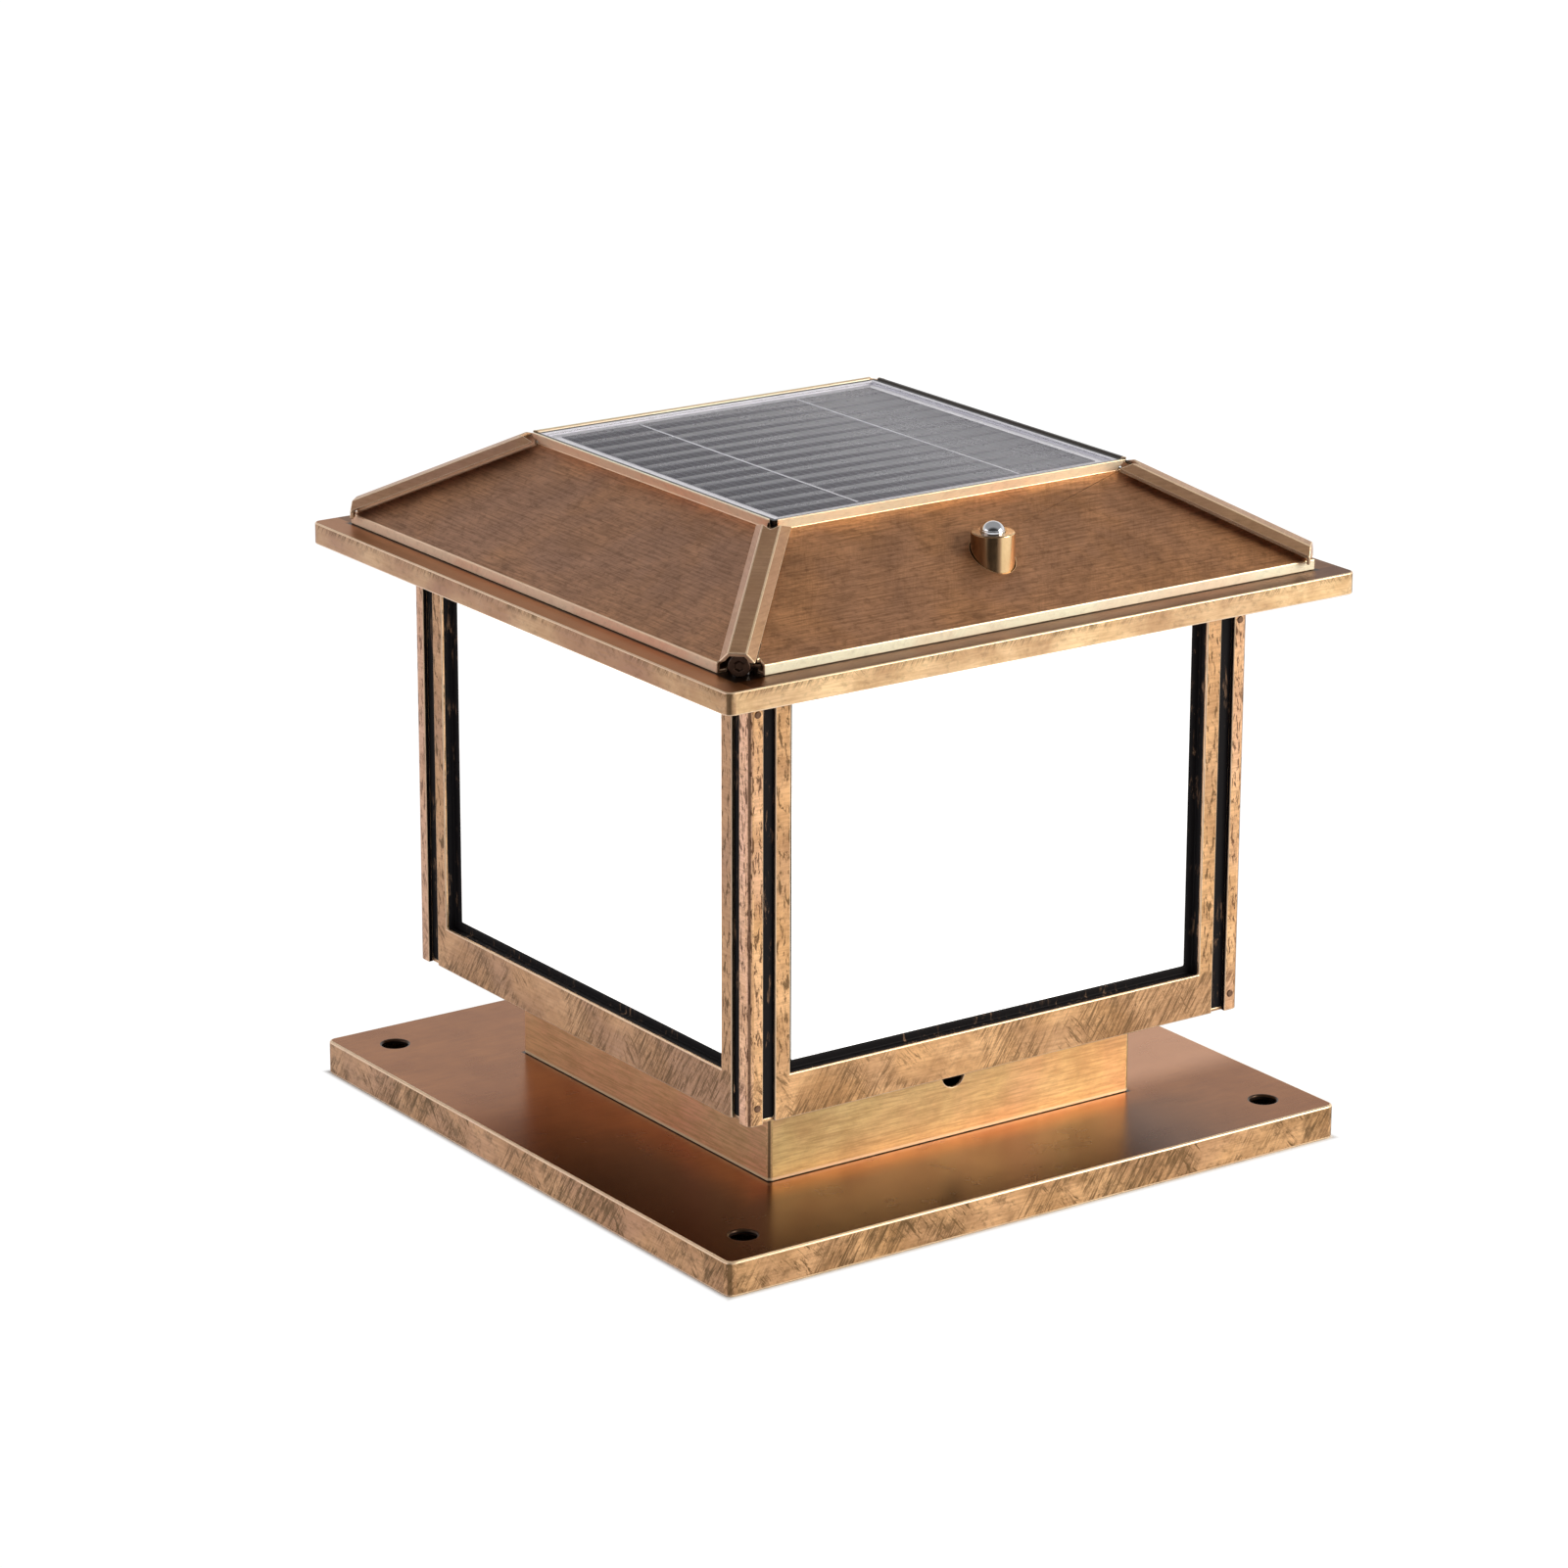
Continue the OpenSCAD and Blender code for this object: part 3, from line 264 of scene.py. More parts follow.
# %% [markdown]
# ## Antiqued bronze
# The finish is made in steps at the factory: a copper-coloured coat, a dark wash that stays in the
# brush marks, and strokes of a stiff brush in all directions that leave short slanting scratches
# in patches. The group makes each of them as its own mask, so that every material can choose how
# much it takes of each. It puts out a colour, a roughness and a height.

# %% Group: antiqued bronze
antique, entry, leave = new_group(
    "antique_bronze",
    [("Light", COLOUR, (0.8, 0.5, 0.28, 1)), ("Dark", COLOUR, (0.4, 0.22, 0.12, 1)),
     ("Blush_and_side_shade", COLOUR, (0.7, 0.4, 0.28, 1)), ("Scratch", COLOUR, (0.12, 0.07, 0.04, 1)),
     ("Mottle", FLOAT, 0.5), ("Grain", FLOAT, 0.5), ("Strokes", FLOAT, 0.5), ("Flecks", FLOAT, 0.0),
     ("Folds", FLOAT, 0.0), ("Specks", FLOAT, 0.3), ("Polish", FLOAT, 0.35)], FINISH_GIVES)
takes, tree = entry.outputs, antique
flat = add(tree, "ShaderNodeGroup", {"node_tree": flat_map}).outputs["Map"]
# cloudy darker and lighter areas, 10 to 30 mm wide
clouds = noise(tree, flat, 55.0, 5.0, 0.62, 0.4)
blush = patches(tree, 0.38, 0.66, flat, 24.0, 3.0, 0.5, 0.6)
# brush marks: fine lines along the face
lines = patches(tree, 0.36, 0.68, stretched(tree, flat, (75.0, 1200.0, 30.0)), 1.0, 5.0, 0.7, 0.3)
# short slanting strokes in two directions, each in patches of its own
stroke_a = times(tree, patches(tree, 0.43, 0.60, stretched(tree, flat, (85.0, 900.0, 60.0), 58.0),
                               1.0, 6.0, 0.75, 0.9),
                 patches(tree, 0.38, 0.54, flat, 34.0, 3.0, 0.6, 0.3))
stroke_b = times(tree, patches(tree, 0.50, 0.62, stretched(tree, flat, (120.0, 800.0, 60.0), 131.0),
                               1.0, 5.0, 0.75, 0.8),
                 patches(tree, 0.48, 0.58, vectors(tree, "ADD", flat, (3.1, 1.7, 0.0)), 40.0, 3.0,
                         0.6, 0.3))
specks = patches(tree, 0.48, 0.72, stretched(tree, flat, (300.0, 420.0, 300.0)), 1.0, 4.0, 0.65, 0.2)
# on the uprights of the lantern the brush left short upright flecks instead of strokes
above_ground = three_parts(tree, place_in(tree))[2]
upright = times(tree, ramp(tree, above_ground, 0.0596, 0.0604), ramp(tree, above_ground, 0.1990, 0.1960))
fleck = patches(tree, 0.51, 0.61, stretched(tree, flat, (640.0, 190.0, 60.0), 4.0), 1.0, 4.0, 0.7, 0.6)
flecks = times(tree, fleck, upright)
strokes = times(tree, maths(tree, "MAXIMUM", stroke_a, stroke_b), opposite(tree, upright))
olive = patches(tree, 0.50, 0.66, vectors(tree, "ADD", flat, (7.7, 2.9, 0.0)), 32.0, 2.0, 0.5, 0.4)

cloud_share = times(tree, ramp(tree, clouds, 0.36, 0.68), takes["Mottle"])
normal = add(tree, "ShaderNodeNewGeometry").outputs["Normal"]
# painted light: faces that turn to the left take more of the blush colour, as the tint of the light from
# that side
left_side = vectors(tree, "DOT_PRODUCT", normal, (-1.0, 0.0, 0.0))
blush_and_side_shade_share = maths(tree, "ADD", times(tree, blush, 0.40),
                    times(tree, ramp(tree, left_side, 0.1, 0.9), 0.60), True)
olive_share = times(tree, olive, takes["Mottle"], 0.45)
line_share = times(tree, lines, takes["Grain"])
speck_share = times(tree, specks, takes["Specks"])
stroke_share = maths(tree, "ADD", times(tree, strokes, takes["Strokes"]),
                     times(tree, flecks, takes["Flecks"]), True)
# the dark wash stays on upright folds: there, the normal's two level parts are alike
diagonal = maths(tree, "ABSOLUTE", times(tree, *three_parts(tree, normal)[:2]))
fold_share = times(tree, ramp(tree, diagonal, 0.38, 0.48), takes["Folds"])
# the coats lie over one another in this order
OLIVE = (0.72, 0.62, 0.42, 1.0)
colour = takes["Light"]
for share, coat, mode in (
        (cloud_share, takes["Dark"], "MIX"), (blush_and_side_shade_share, takes["Blush_and_side_shade"], "MIX"),
        (olive_share, OLIVE, "MULTIPLY"), (line_share, takes["Dark"], "MIX"),
        (speck_share, takes["Scratch"], "MIX"), (stroke_share, takes["Scratch"], "MIX"),
        (fold_share, takes["Scratch"], "MIX")):
    colour = blend_colours(tree, share, colour, coat, mode)
join(tree, colour, leave.inputs["Colour"])
rough = maths(tree, "ADD", takes["Polish"], times(tree, clouds, 0.12))
rough = maths(tree, "ADD", rough, times(tree, stroke_share, 0.22), True)
join(tree, rough, leave.inputs["Roughness"])
depth = maths(tree, "SUBTRACT", times(tree, line_share, -0.5), stroke_share)
join(tree, maths(tree, "ADD", depth, times(tree, clouds, 0.3)), leave.inputs["Height"])
print("antique_bronze:", len(tree.nodes), "nodes")

# %% [markdown]
# ## Making a material
# A material is its shader with the constants on it, and the group's colour, roughness and height
# led into it. The height goes through a Bump node, which tilts the light on the fine marks. Then a
# few places are painted over, most with painted shade and some with painted highlights.

# %% Bronze materials
looks = {}


def new_material(name, **constants):
    """Puts a new material in `looks`, with constants on its Principled shader, and gives its tree
    and the shader."""
    material = looks[name] = bpy.data.materials.new(name)
    material.use_nodes = True
    shader = material.node_tree.nodes["Principled BSDF"]
    for key, value in constants.items():
        shader.inputs[key.replace("_", " ")].default_value = value
    return material.node_tree, shader


def finished(name, group, relief, colours, shares, **constants):
    """A material whose colour, roughness and relief come from a finish group, by the colours and
    shares that the group takes."""
    tree, shader = new_material(name, **constants)
    finish = add(tree, "ShaderNodeGroup", {"node_tree": group}, **shares)
    for label, value in colours.items():
        finish.inputs[label].default_value = (*value, 1.0)
    bump = add(tree, "ShaderNodeBump", None, Strength=0.5, Distance=relief)
    join(tree, finish.outputs["Colour"], shader.inputs["Base Color"])
    join(tree, finish.outputs["Roughness"], shader.inputs["Roughness"])
    join(tree, finish.outputs["Height"], bump.inputs["Height"])
    join(tree, bump.outputs["Normal"], shader.inputs["Normal"])


def bronze(name, light, dark, blush, scratch=(0.12, 0.068, 0.03), mottle=0.6, grain=0.4, strokes=0.75,
           flecks=0.0, folds=0.8, specks=0.3, polish=0.32, relief=0.00006, metallic=0.85):
    """Antiqued bronze with its own colours and its own share of each kind of mark."""
    finished(
        name, antique, relief, {"Light": light, "Dark": dark, "Blush_and_side_shade": blush, "Scratch": scratch},
        {"Mottle": mottle, "Grain": grain, "Strokes": strokes, "Flecks": flecks, "Folds": folds,
         "Specks": specks, "Polish": polish}, Metallic=metallic)


def over_paint(name, mask_of, colour):
    """Blends a colour over a material's own, by a mask that a function makes from the place of the
    point: its three coordinates, in metres."""
    tree = looks[name].node_tree
    shader = tree.nodes["Principled BSDF"]
    own = shader.inputs["Base Color"].links[0].from_socket
    share = mask_of(tree, *three_parts(tree, place_in(tree)))
    join(tree, blend_colours(tree, share, own, (*colour, 1.0)), shader.inputs["Base Color"])


def square_reach(tree, x, y):
    """Half the width of the upright square that goes through a point."""
    return maths(tree, "MAXIMUM", maths(tree, "ABSOLUTE", x), maths(tree, "ABSOLUTE", y))


def grows(along, low, high, most=1.0):
    """A mask for `over_paint` that grows from 0 at `low` to `most` at `high`, along "x", "y" or "z"
    or along "reach", the half width of the square through the point."""
    def mask(tree, x, y, z):
        way = square_reach(tree, x, y) if along == "reach" else {"x": x, "y": y, "z": z}[along]
        return times(tree, ramp(tree, way, low, high), most)
    return mask


bronze("sheet_bronze", (0.90, 0.53, 0.26), (0.32, 0.155, 0.06), (0.46, 0.26, 0.16), flecks=0.85)
bronze("eave_bronze", (0.96, 0.68, 0.38), (0.40, 0.21, 0.09), (0.39, 0.21, 0.135))
bronze("post_bronze", (0.96, 0.58, 0.29), (0.36, 0.17, 0.07), (0.92, 0.56, 0.40),
       (0.09, 0.04, 0.02), flecks=0.85)
bronze("skirt_bronze", (0.86, 0.50, 0.24), (0.27, 0.135, 0.05), (0.48, 0.26, 0.15),
       (0.13, 0.072, 0.028), mottle=0.7, strokes=0.9, specks=0.6)
bronze("satin_bronze", (0.34, 0.115, 0.016), (0.21, 0.060, 0.006), (0.31, 0.102, 0.014),
       mottle=0.35, grain=0.50, strokes=0.0, specks=0.0, polish=0.20, relief=0.000004, metallic=1.0)
bronze("ledge_bronze", (0.26, 0.095, 0.012), (0.14, 0.046, 0.005), (0.36, 0.15, 0.05),
       mottle=0.6, grain=0.30, strokes=0.0, specks=0.3, polish=0.36, metallic=1.0)
bronze("neck_bronze", (0.94, 0.74, 0.34), (0.46, 0.24, 0.10), (1.0, 0.54, 0.32),
       mottle=0.4, grain=0.55, strokes=0.04, specks=0.10, polish=0.32, metallic=0.45)
bronze("roof_bronze", (0.72, 0.35, 0.16), (0.19, 0.09, 0.04), (0.48, 0.27, 0.185),
       (0.14, 0.062, 0.026), mottle=0.5, grain=0.58, strokes=0.16, folds=0.0, specks=0.42,
       polish=0.40)
bronze("rib_bronze", (0.64, 0.38, 0.21), (0.32, 0.16, 0.08), (0.50, 0.28, 0.19),
       folds=0.0, mottle=0.4, grain=0.35, strokes=0.05, specks=0.15, polish=0.30)
bronze("fold_bronze", (1.0, 1.0, 0.78), (0.94, 0.82, 0.60), (1.0, 0.56, 0.38),
       mottle=0.25, grain=0.25, strokes=0.05, specks=0.14, polish=0.34, metallic=0.2)
bronze("worn_bronze", (0.98, 0.76, 0.50), (0.70, 0.46, 0.27), (0.84, 0.58, 0.42),
       folds=0.7, mottle=0.45, grain=0.1, strokes=0.0, specks=0.25, polish=0.26, metallic=0.6)

BOLT_AT = 0.1075  # how far a bolt hole lies from the middle, along X and along Y


def near_bolts(tree, x, y, z):
    """1 on the rims of the four bolt holes, which get painted shade."""
    aside = [maths(tree, "SUBTRACT", maths(tree, "ABSOLUTE", v), BOLT_AT) for v in (x, y)]
    span = maths(tree, "SQRT", maths(tree, "ADD", *(times(tree, v, v) for v in aside)))
    return times(tree, ramp(tree, span, 0.0075, 0.0065), ramp(tree, z, 0.014, 0.013))


def shaded_strips(tree, x, y, z):
    """Grows outwards on the front and left strips of the base's top, as painted shade."""
    front = times(tree, ramp(tree, y, -0.074, -0.092), ramp(tree, x, 0.115, 0.04))
    left = times(tree, ramp(tree, x, -0.076, -0.098), ramp(tree, y, 0.03, -0.05))
    return times(tree, maths(tree, "MAXIMUM", front, left), 0.88)


def right_rim(tree, x, y, z):
    """1 on the roof's right rim, which is painted near black."""
    return times(tree, ramp(tree, x, 0.0660, 0.0665), ramp(tree, x, 0.0750, 0.0745),
                 ramp(tree, maths(tree, "ABSOLUTE", y), 0.0690, 0.0685), ramp(tree, z, 0.2300, 0.2304))


def lit_right_strip(tree, x, y, z):
    """Half on the right strip of the base's top, beside the neck: a painted reflection of the light."""
    return times(tree, ramp(tree, x, 0.0765, 0.078), ramp(tree, y, -0.080, -0.060), 0.5)


for name, mask, colour in (
        # painted shade on the rims of the bolt holes
        ("worn_bronze", near_bolts, (0.05, 0.022, 0.008)),
        # painted highlight: a pale line along the foot of the neck
        ("neck_bronze", grows("z", 0.0136, 0.0128), (0.98, 0.80, 0.55)),
        # painted reflection: the base's top is brighter on its right strip
        ("satin_bronze", lit_right_strip, (0.80, 0.42, 0.24)),
        # painted shade on the front strip of the eave's ledge, and painted light on its left strip
        ("ledge_bronze", grows("y", -0.1155, -0.1160, 0.75), (0.13, 0.035, 0.001)),
        ("ledge_bronze", grows("x", -0.1155, -0.1160, 0.45), (0.72, 0.32, 0.13)),
        # painted shade on the front and left strips of the base's top
        ("satin_bronze", shaded_strips, (0.07, 0.024, 0.002)),
        # painted shade: the back posts are darker
        ("post_bronze", grows("y", 0.07, 0.09, 0.45), (0.34, 0.19, 0.13)),
        ("fold_bronze", right_rim, (0.03, 0.018, 0.012)),
        ("worn_bronze", right_rim, (0.03, 0.018, 0.012)),
        # painted shade: a dark line in the corners where the neck and the roof's bands stand on these tops
        ("satin_bronze", grows("reach", 0.0759, 0.0752), (0.03, 0.012, 0.004)),
        ("ledge_bronze", grows("reach", 0.1178, 0.1163), (0.03, 0.014, 0.006))):
    over_paint(name, mask, colour)
print("bronze materials ready")

# %% [markdown]
# ## Rubber, plastic, plain metal and glass
# The other materials are simpler. One group gives all of them a slight change of tone over a few
# millimetres, fine dust-like grain and a small relief, because no real surface has one flat
# colour. Each material sets how strong and how coarse that is.

# %% Group: slight unevenness
uneven, entry, leave = new_group(
    "slight_unevenness",
    [("First", COLOUR, (0.5, 0.5, 0.5, 1)), ("Second", COLOUR, (0.4, 0.4, 0.4, 1)),
     ("Coarse", FLOAT, 120.0), ("Polish", FLOAT, 0.4)], FINISH_GIVES)
spot = place_in(uneven)
coarse = add(uneven, "ShaderNodeTexNoise", None, Detail=4.0, Roughness=0.6)
join(uneven, spot, coarse.inputs["Vector"])
join(uneven, entry.outputs["Coarse"], coarse.inputs["Scale"])
dust = noise(uneven, spot, 900.0, 2.0)
share = ramp(uneven, coarse.outputs["Fac"], 0.35, 0.68)
share = maths(uneven, "ADD", times(uneven, share, 0.75),
              times(uneven, ramp(uneven, dust, 0.45, 0.7), 0.25), True)
join(uneven, blend_colours(uneven, share, entry.outputs["First"], entry.outputs["Second"]),
     leave.inputs["Colour"])
join(uneven, maths(uneven, "ADD", entry.outputs["Polish"], times(uneven, share, 0.1), True),
     leave.inputs["Roughness"])
join(uneven, maths(uneven, "ADD", share, dust), leave.inputs["Height"])
print("slight_unevenness:", len(uneven.nodes), "nodes")

# %% Plain materials
def plain(name, first, second, polish, coarse=120.0, relief=0.00002, **constants):
    """A material whose tone wanders between two close colours."""
    finished(name, uneven, relief, {"First": first, "Second": second},
             {"Coarse": coarse, "Polish": polish}, **constants)


# painted shade: near black for the faces that lie in slots and holes
plain("slot_black", (0.004, 0.003, 0.004), (0.010, 0.007, 0.008), 0.7, Specular_IOR_Level=0.1)
plain("screw_dark", (0.085, 0.045, 0.028), (0.045, 0.024, 0.016), 0.35, 400.0, Metallic=0.8)
plain("rivet_bronze", (0.22, 0.12, 0.07), (0.10, 0.05, 0.03), 0.4, 500.0, Metallic=0.8)
plain("zinc_steel", (0.62, 0.62, 0.64), (0.48, 0.49, 0.52), 0.28, 300.0, Metallic=1.0)
plain("tube_brass", (0.80, 0.56, 0.30), (0.70, 0.47, 0.24), 0.15, 90.0, Metallic=1.0, relief=0.000001)
plain("button_chrome", (0.70, 0.71, 0.74), (0.66, 0.67, 0.71), 0.05, 200.0, Metallic=1.0,
      relief=0.0000005)
plain("board_white", (0.86, 0.86, 0.92), (0.80, 0.80, 0.87), 0.45)
plain("border_white", (0.95, 0.94, 1.0), (0.90, 0.89, 0.97), 0.30, Specular_IOR_Level=0.7)
plain("plastic_black", (0.022, 0.022, 0.024), (0.036, 0.036, 0.038), 0.42, relief=0.00004)
plain("film_blue", (0.05, 0.16, 0.36), (0.04, 0.12, 0.28), 0.22, Coat_Weight=0.5)
plain("cell_steel", (0.70, 0.70, 0.70), (0.58, 0.58, 0.60), 0.22, Metallic=1.0)
plain("lacquer_green", (0.012, 0.12, 0.05), (0.008, 0.075, 0.032), 0.25, Coat_Weight=0.4)
plain("diode_resin", (0.95, 0.80, 0.28), (0.90, 0.70, 0.20), 0.2, 500.0)
plain("wire_red", (0.50, 0.018, 0.018), (0.40, 0.012, 0.012), 0.38, 300.0)
plain("silver_print", (0.80, 0.80, 0.86), (0.68, 0.68, 0.76), 0.35, 400.0, Metallic=0.4)
plain("copper_wire", (0.70, 0.30, 0.14), (0.55, 0.20, 0.09), 0.28, 600.0, Metallic=1.0)
print("plain materials ready")

# %% [markdown]
# ## Special surfaces
# Some surfaces need more than that. The opal panels are lit from behind, so they glow. The solar
# cells are dark silicon with hair-fine silver fingers, under a clear cover. The sealing strip round
# each opal panel was caught by the antiquing brush and carries flecks of bronze. The switch tube
# carries a painted reflection of dark surroundings on one side, and the solar panel's sealant is
# wiped thin over its white edge.

# %% Opal, silicon, clear cover, flecked strip, tube with a painted reflection, and sealant
plain("opal", (0.96, 0.96, 0.95), (0.93, 0.93, 0.93), 0.35, 60.0,
      Emission_Color=(1.0, 0.99, 0.97, 1.0), Emission_Strength=1.0)

STRIPS, STRIP_GAP = 13, 0.0004
cells_low, cells_high = (np.array(v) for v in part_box("solar_cells"))
strip_step = (cells_high[1] - cells_low[1] + STRIP_GAP) / STRIPS
plain("silicon", (0.102, 0.100, 0.122), (0.086, 0.084, 0.104), 0.25, 60.0, relief=0.000002,
      Specular_IOR_Level=0.2)
tree = looks["silicon"].node_tree
spot = place_in(tree)
finger_wave = add(tree, "ShaderNodeTexWave", {"wave_type": "BANDS", "bands_direction": "X"}, Scale=105.0)
join(tree, spot, finger_wave.inputs["Vector"])
fingers = ramp(tree, finger_wave.outputs["Fac"], 0.80, 0.98)
# one half of each strip is a little paler
along_strips = vectors(tree, "DOT_PRODUCT", spot, (0.0, 1.0 / strip_step, 0.0))
in_strip = maths(tree, "FRACT", maths(tree, "SUBTRACT", along_strips, cells_low[1] / strip_step))
pale_half = times(tree, ramp(tree, in_strip, 0.46, 0.66), ramp(tree, in_strip, 1.0, 0.86))
over_paint("silicon", lambda *_: pale_half, (0.125, 0.122, 0.147))
over_paint("silicon", lambda *_: times(tree, fingers, 0.18), (0.52, 0.51, 0.60))
# the cut edges are paler too: painted light on the sides of the strips, which lie in shade
over_paint("silicon", grows("z", cells_high[2] - 0.00005, cells_high[2] - 0.0001), (0.22, 0.215, 0.25))

# the cover is clear, and only its outer side shows a share of gloss and haze
tree, shader = new_material("cover_clear", Base_Color=(0.90, 0.90, 0.97, 1.0), Roughness=0.12, IOR=1.5)
gloss = add(tree, "ShaderNodeFresnel", None, IOR=1.5)
haze = noise(tree, place_in(tree), 60.0, 3.0, 0.6)
cover_share = maths(tree, "ADD", times(tree, gloss.outputs[0], 0.28), times(tree, haze, 0.05))
outer_side = opposite(tree, add(tree, "ShaderNodeNewGeometry").outputs["Backfacing"])
join(tree, times(tree, cover_share, outer_side), shader.inputs["Alpha"])

tree, shader = new_material("strip_flecked", Metallic=0.1, Specular_IOR_Level=0.12)
spot = place_in(tree)
smears = patches(tree, 0.56, 0.66, stretched(tree, spot, (500.0, 500.0, 110.0)), 1.0, 5.0, 0.7, 0.4)
smears = times(tree, smears, patches(tree, 0.42, 0.62, spot, 60.0, 2.0))
join(tree, blend_colours(tree, smears, (0.006, 0.005, 0.006, 1.0), (0.22, 0.13, 0.08, 1.0)),
     shader.inputs["Base Color"])
join(tree, maths(tree, "SUBTRACT", 0.6, times(tree, smears, 0.2)), shader.inputs["Roughness"])

tube_low, tube_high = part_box("switch_tube")
tube_middle = 0.5 * (tube_low[1] + tube_high[1])


def dark_mirrored_side(tree, x, y, z):
    """Grows on the left and back of the switch tube: a painted reflection of the dark surroundings."""
    aside = maths(tree, "SUBTRACT", times(tree, x, 0.82),
                  times(tree, maths(tree, "SUBTRACT", y, tube_middle), 0.57))
    return times(tree, ramp(tree, aside, 0.0030, 0.0018), 0.8)


over_paint("tube_brass", dark_mirrored_side, (0.17, 0.085, 0.045))

# the sealant is wiped thin over the panel's white edge, and only its outer line stays black
plain("seal_smeared", (0.90, 0.89, 0.97), (0.80, 0.79, 0.88), 0.4, Specular_IOR_Level=0.4)
seal_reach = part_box("panel_seal")[1][0]
over_paint("seal_smeared", grows("reach", seal_reach - 0.0018, seal_reach - 0.0014),
           (0.015, 0.014, 0.014))
print("special materials ready")

# %% [markdown]
# ## From exact model to real sheet
# The exact model has knife-sharp edges. Real sheet is folded, and its edges are deburred, painted
# and then rubbed bright by the antiquing brush. Each node is copied as arrays, its loose triangles
# are joined and flat areas made one face, and a Bevel modifier gives the small radius. The
# modifier can give the new narrow faces a material of their own, and that is the rubbed, brighter
# bronze, so the bright lines follow the true edges.

# %% Copy, join and soften a node
def merged(node):
    """Corner points and triangles of a node as arrays, with corners that share a place made one:
    places are rounded to 5 micrometres, and equal ones get one number."""
    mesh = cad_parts[node].data
    points = np.empty(3 * len(mesh.vertices), np.float32)
    mesh.vertices.foreach_get("co", points)
    points = points.reshape(-1, 3)
    corners = np.empty(len(mesh.loops), np.int32)
    mesh.loops.foreach_get("vertex_index", corners)
    _, first, number = np.unique(np.round(points * 2e5).astype(np.int64), axis=0,
                                 return_index=True, return_inverse=True)
    faces = number.reshape(-1)[corners].reshape(-1, 3)
    good = (faces[:, 0] != faces[:, 1]) & (faces[:, 1] != faces[:, 2]) & (faces[:, 2] != faces[:, 0])
    return points[first], faces[good]


def mesh_of(name, points, faces):
    """A mesh from an array of points and an array of faces."""
    mesh = bpy.data.meshes.new(name)
    mesh.from_pydata(np.asarray(points, float).tolist(), [], np.asarray(faces).tolist())
    mesh.update()
    return mesh


def face_facts(mesh):
    """Arrays of the faces' normals and middles."""
    normals = np.empty(3 * len(mesh.polygons), np.float32)
    middles = np.empty(3 * len(mesh.polygons), np.float32)
    mesh.polygons.foreach_get("normal", normals)
    mesh.polygons.foreach_get("center", middles)
    return normals.reshape(-1, 3), middles.reshape(-1, 3)


def finish_piece(mesh, materials, replaced=(), body="lamp", pick=None):
    """Puts a mesh in the scene as a piece of its name: smooth faces, the named materials as `pick`
    chooses them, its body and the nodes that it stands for."""
    for name in materials.split():
        mesh.materials.append(looks[name])
    mesh.polygons.foreach_set("use_smooth", np.ones(len(mesh.polygons), bool))
    if pick is not None:
        mesh.polygons.foreach_set("material_index", pick(*face_facts(mesh)).astype(np.int32))
    piece = shown(mesh.name, mesh)
    if body is not None:
        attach(piece, body)
    if replaced:
        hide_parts(*replaced)
    return piece


def dressed(node, materials, width, pick=None, edge=-1, segments=2, angle=32.0):
    """A copy of a node with flat areas made one face, and a radius on edges sharper than an angle.
    `edge` is the number of the edges' material in `materials`; -1 keeps that of their neighbours."""
    mesh = mesh_of(node + "_skin", *merged(node))
    shape = bmesh.new()
    shape.from_mesh(mesh)
    bmesh.ops.dissolve_limit(shape, angle_limit=math.radians(0.4), verts=shape.verts[:],
                             edges=shape.edges[:], delimit={"NORMAL"})
    shape.to_mesh(mesh)
    shape.free()
    bevel = finish_piece(mesh, materials, (node,), pick=pick).modifiers.new("edge_radius", "BEVEL")
    bevel.width = width
    bevel.segments = segments
    bevel.limit_method = "ANGLE"
    bevel.angle_limit = math.radians(angle)
    bevel.use_clamp_overlap = False
    bevel.loop_slide = False
    bevel.harden_normals = True
    bevel.material = edge


CORNERS = ("front_left", "front_right", "back_right", "back_left")
SIDES = {"front": (0, -1), "right": (1, 0), "back": (0, 1), "left": (-1, 0)}
print("helpers for pieces ready")

# %% [markdown]
# ## The sheet-metal parts
# `pick` functions choose a material for every face at once from arrays of normals and middles: the
# base is satin on top and scratched on its skirt, and a slope is brown with a paler band and rim.

# %% Base, neck, floor and eave
def base_faces(normals, middles):
    """Satin on the upward top, black painted shade in the holes, scratched bronze elsewhere."""
    kinds = np.zeros(len(normals))
    kinds[(normals[:, 2] > 0.9) & (middles[:, 2] > 0.011)] = 1
    inner = np.hypot(*(np.abs(middles[:, :2]) - BOLT_AT).T) < 0.0047
    kinds[inner & (np.abs(normals[:, 2]) < 0.3)] = 2
    return kinds


def eave_faces(normals, middles):
    """Brown on the ledge on top, scratched bronze elsewhere."""
    return np.where((normals[:, 2] > 0.9) & (middles[:, 2] > 0.198), 1, 0)


dressed("base_plate", "skirt_bronze satin_bronze slot_black worn_bronze", 0.0008, base_faces, 3, 3)
dressed("eave_tray", "eave_bronze ledge_bronze worn_bronze", 0.0005, eave_faces, 2, 3)
dressed("neck", "neck_bronze worn_bronze", 0.0004, None, 1)
dressed("floor_tray", "sheet_bronze worn_bronze", 0.0003, None, 1)
dressed("top_deck", "rib_bronze worn_bronze", 0.0003, None, 1)
print("trays and neck dressed")

# %% Window frames and corner posts
def frame_faces(side):
    """Black painted shade on the cut edges that face the slots beside a frame."""
    across = np.array([SIDES[side][1], SIDES[side][0]], float)

    def kinds(normals, middles):
        outer = np.abs(middles[:, :2] @ across) > 0.0897
        return np.where(outer & (np.abs(normals[:, :2] @ across) > 0.9), 1, 0)
    return kinds


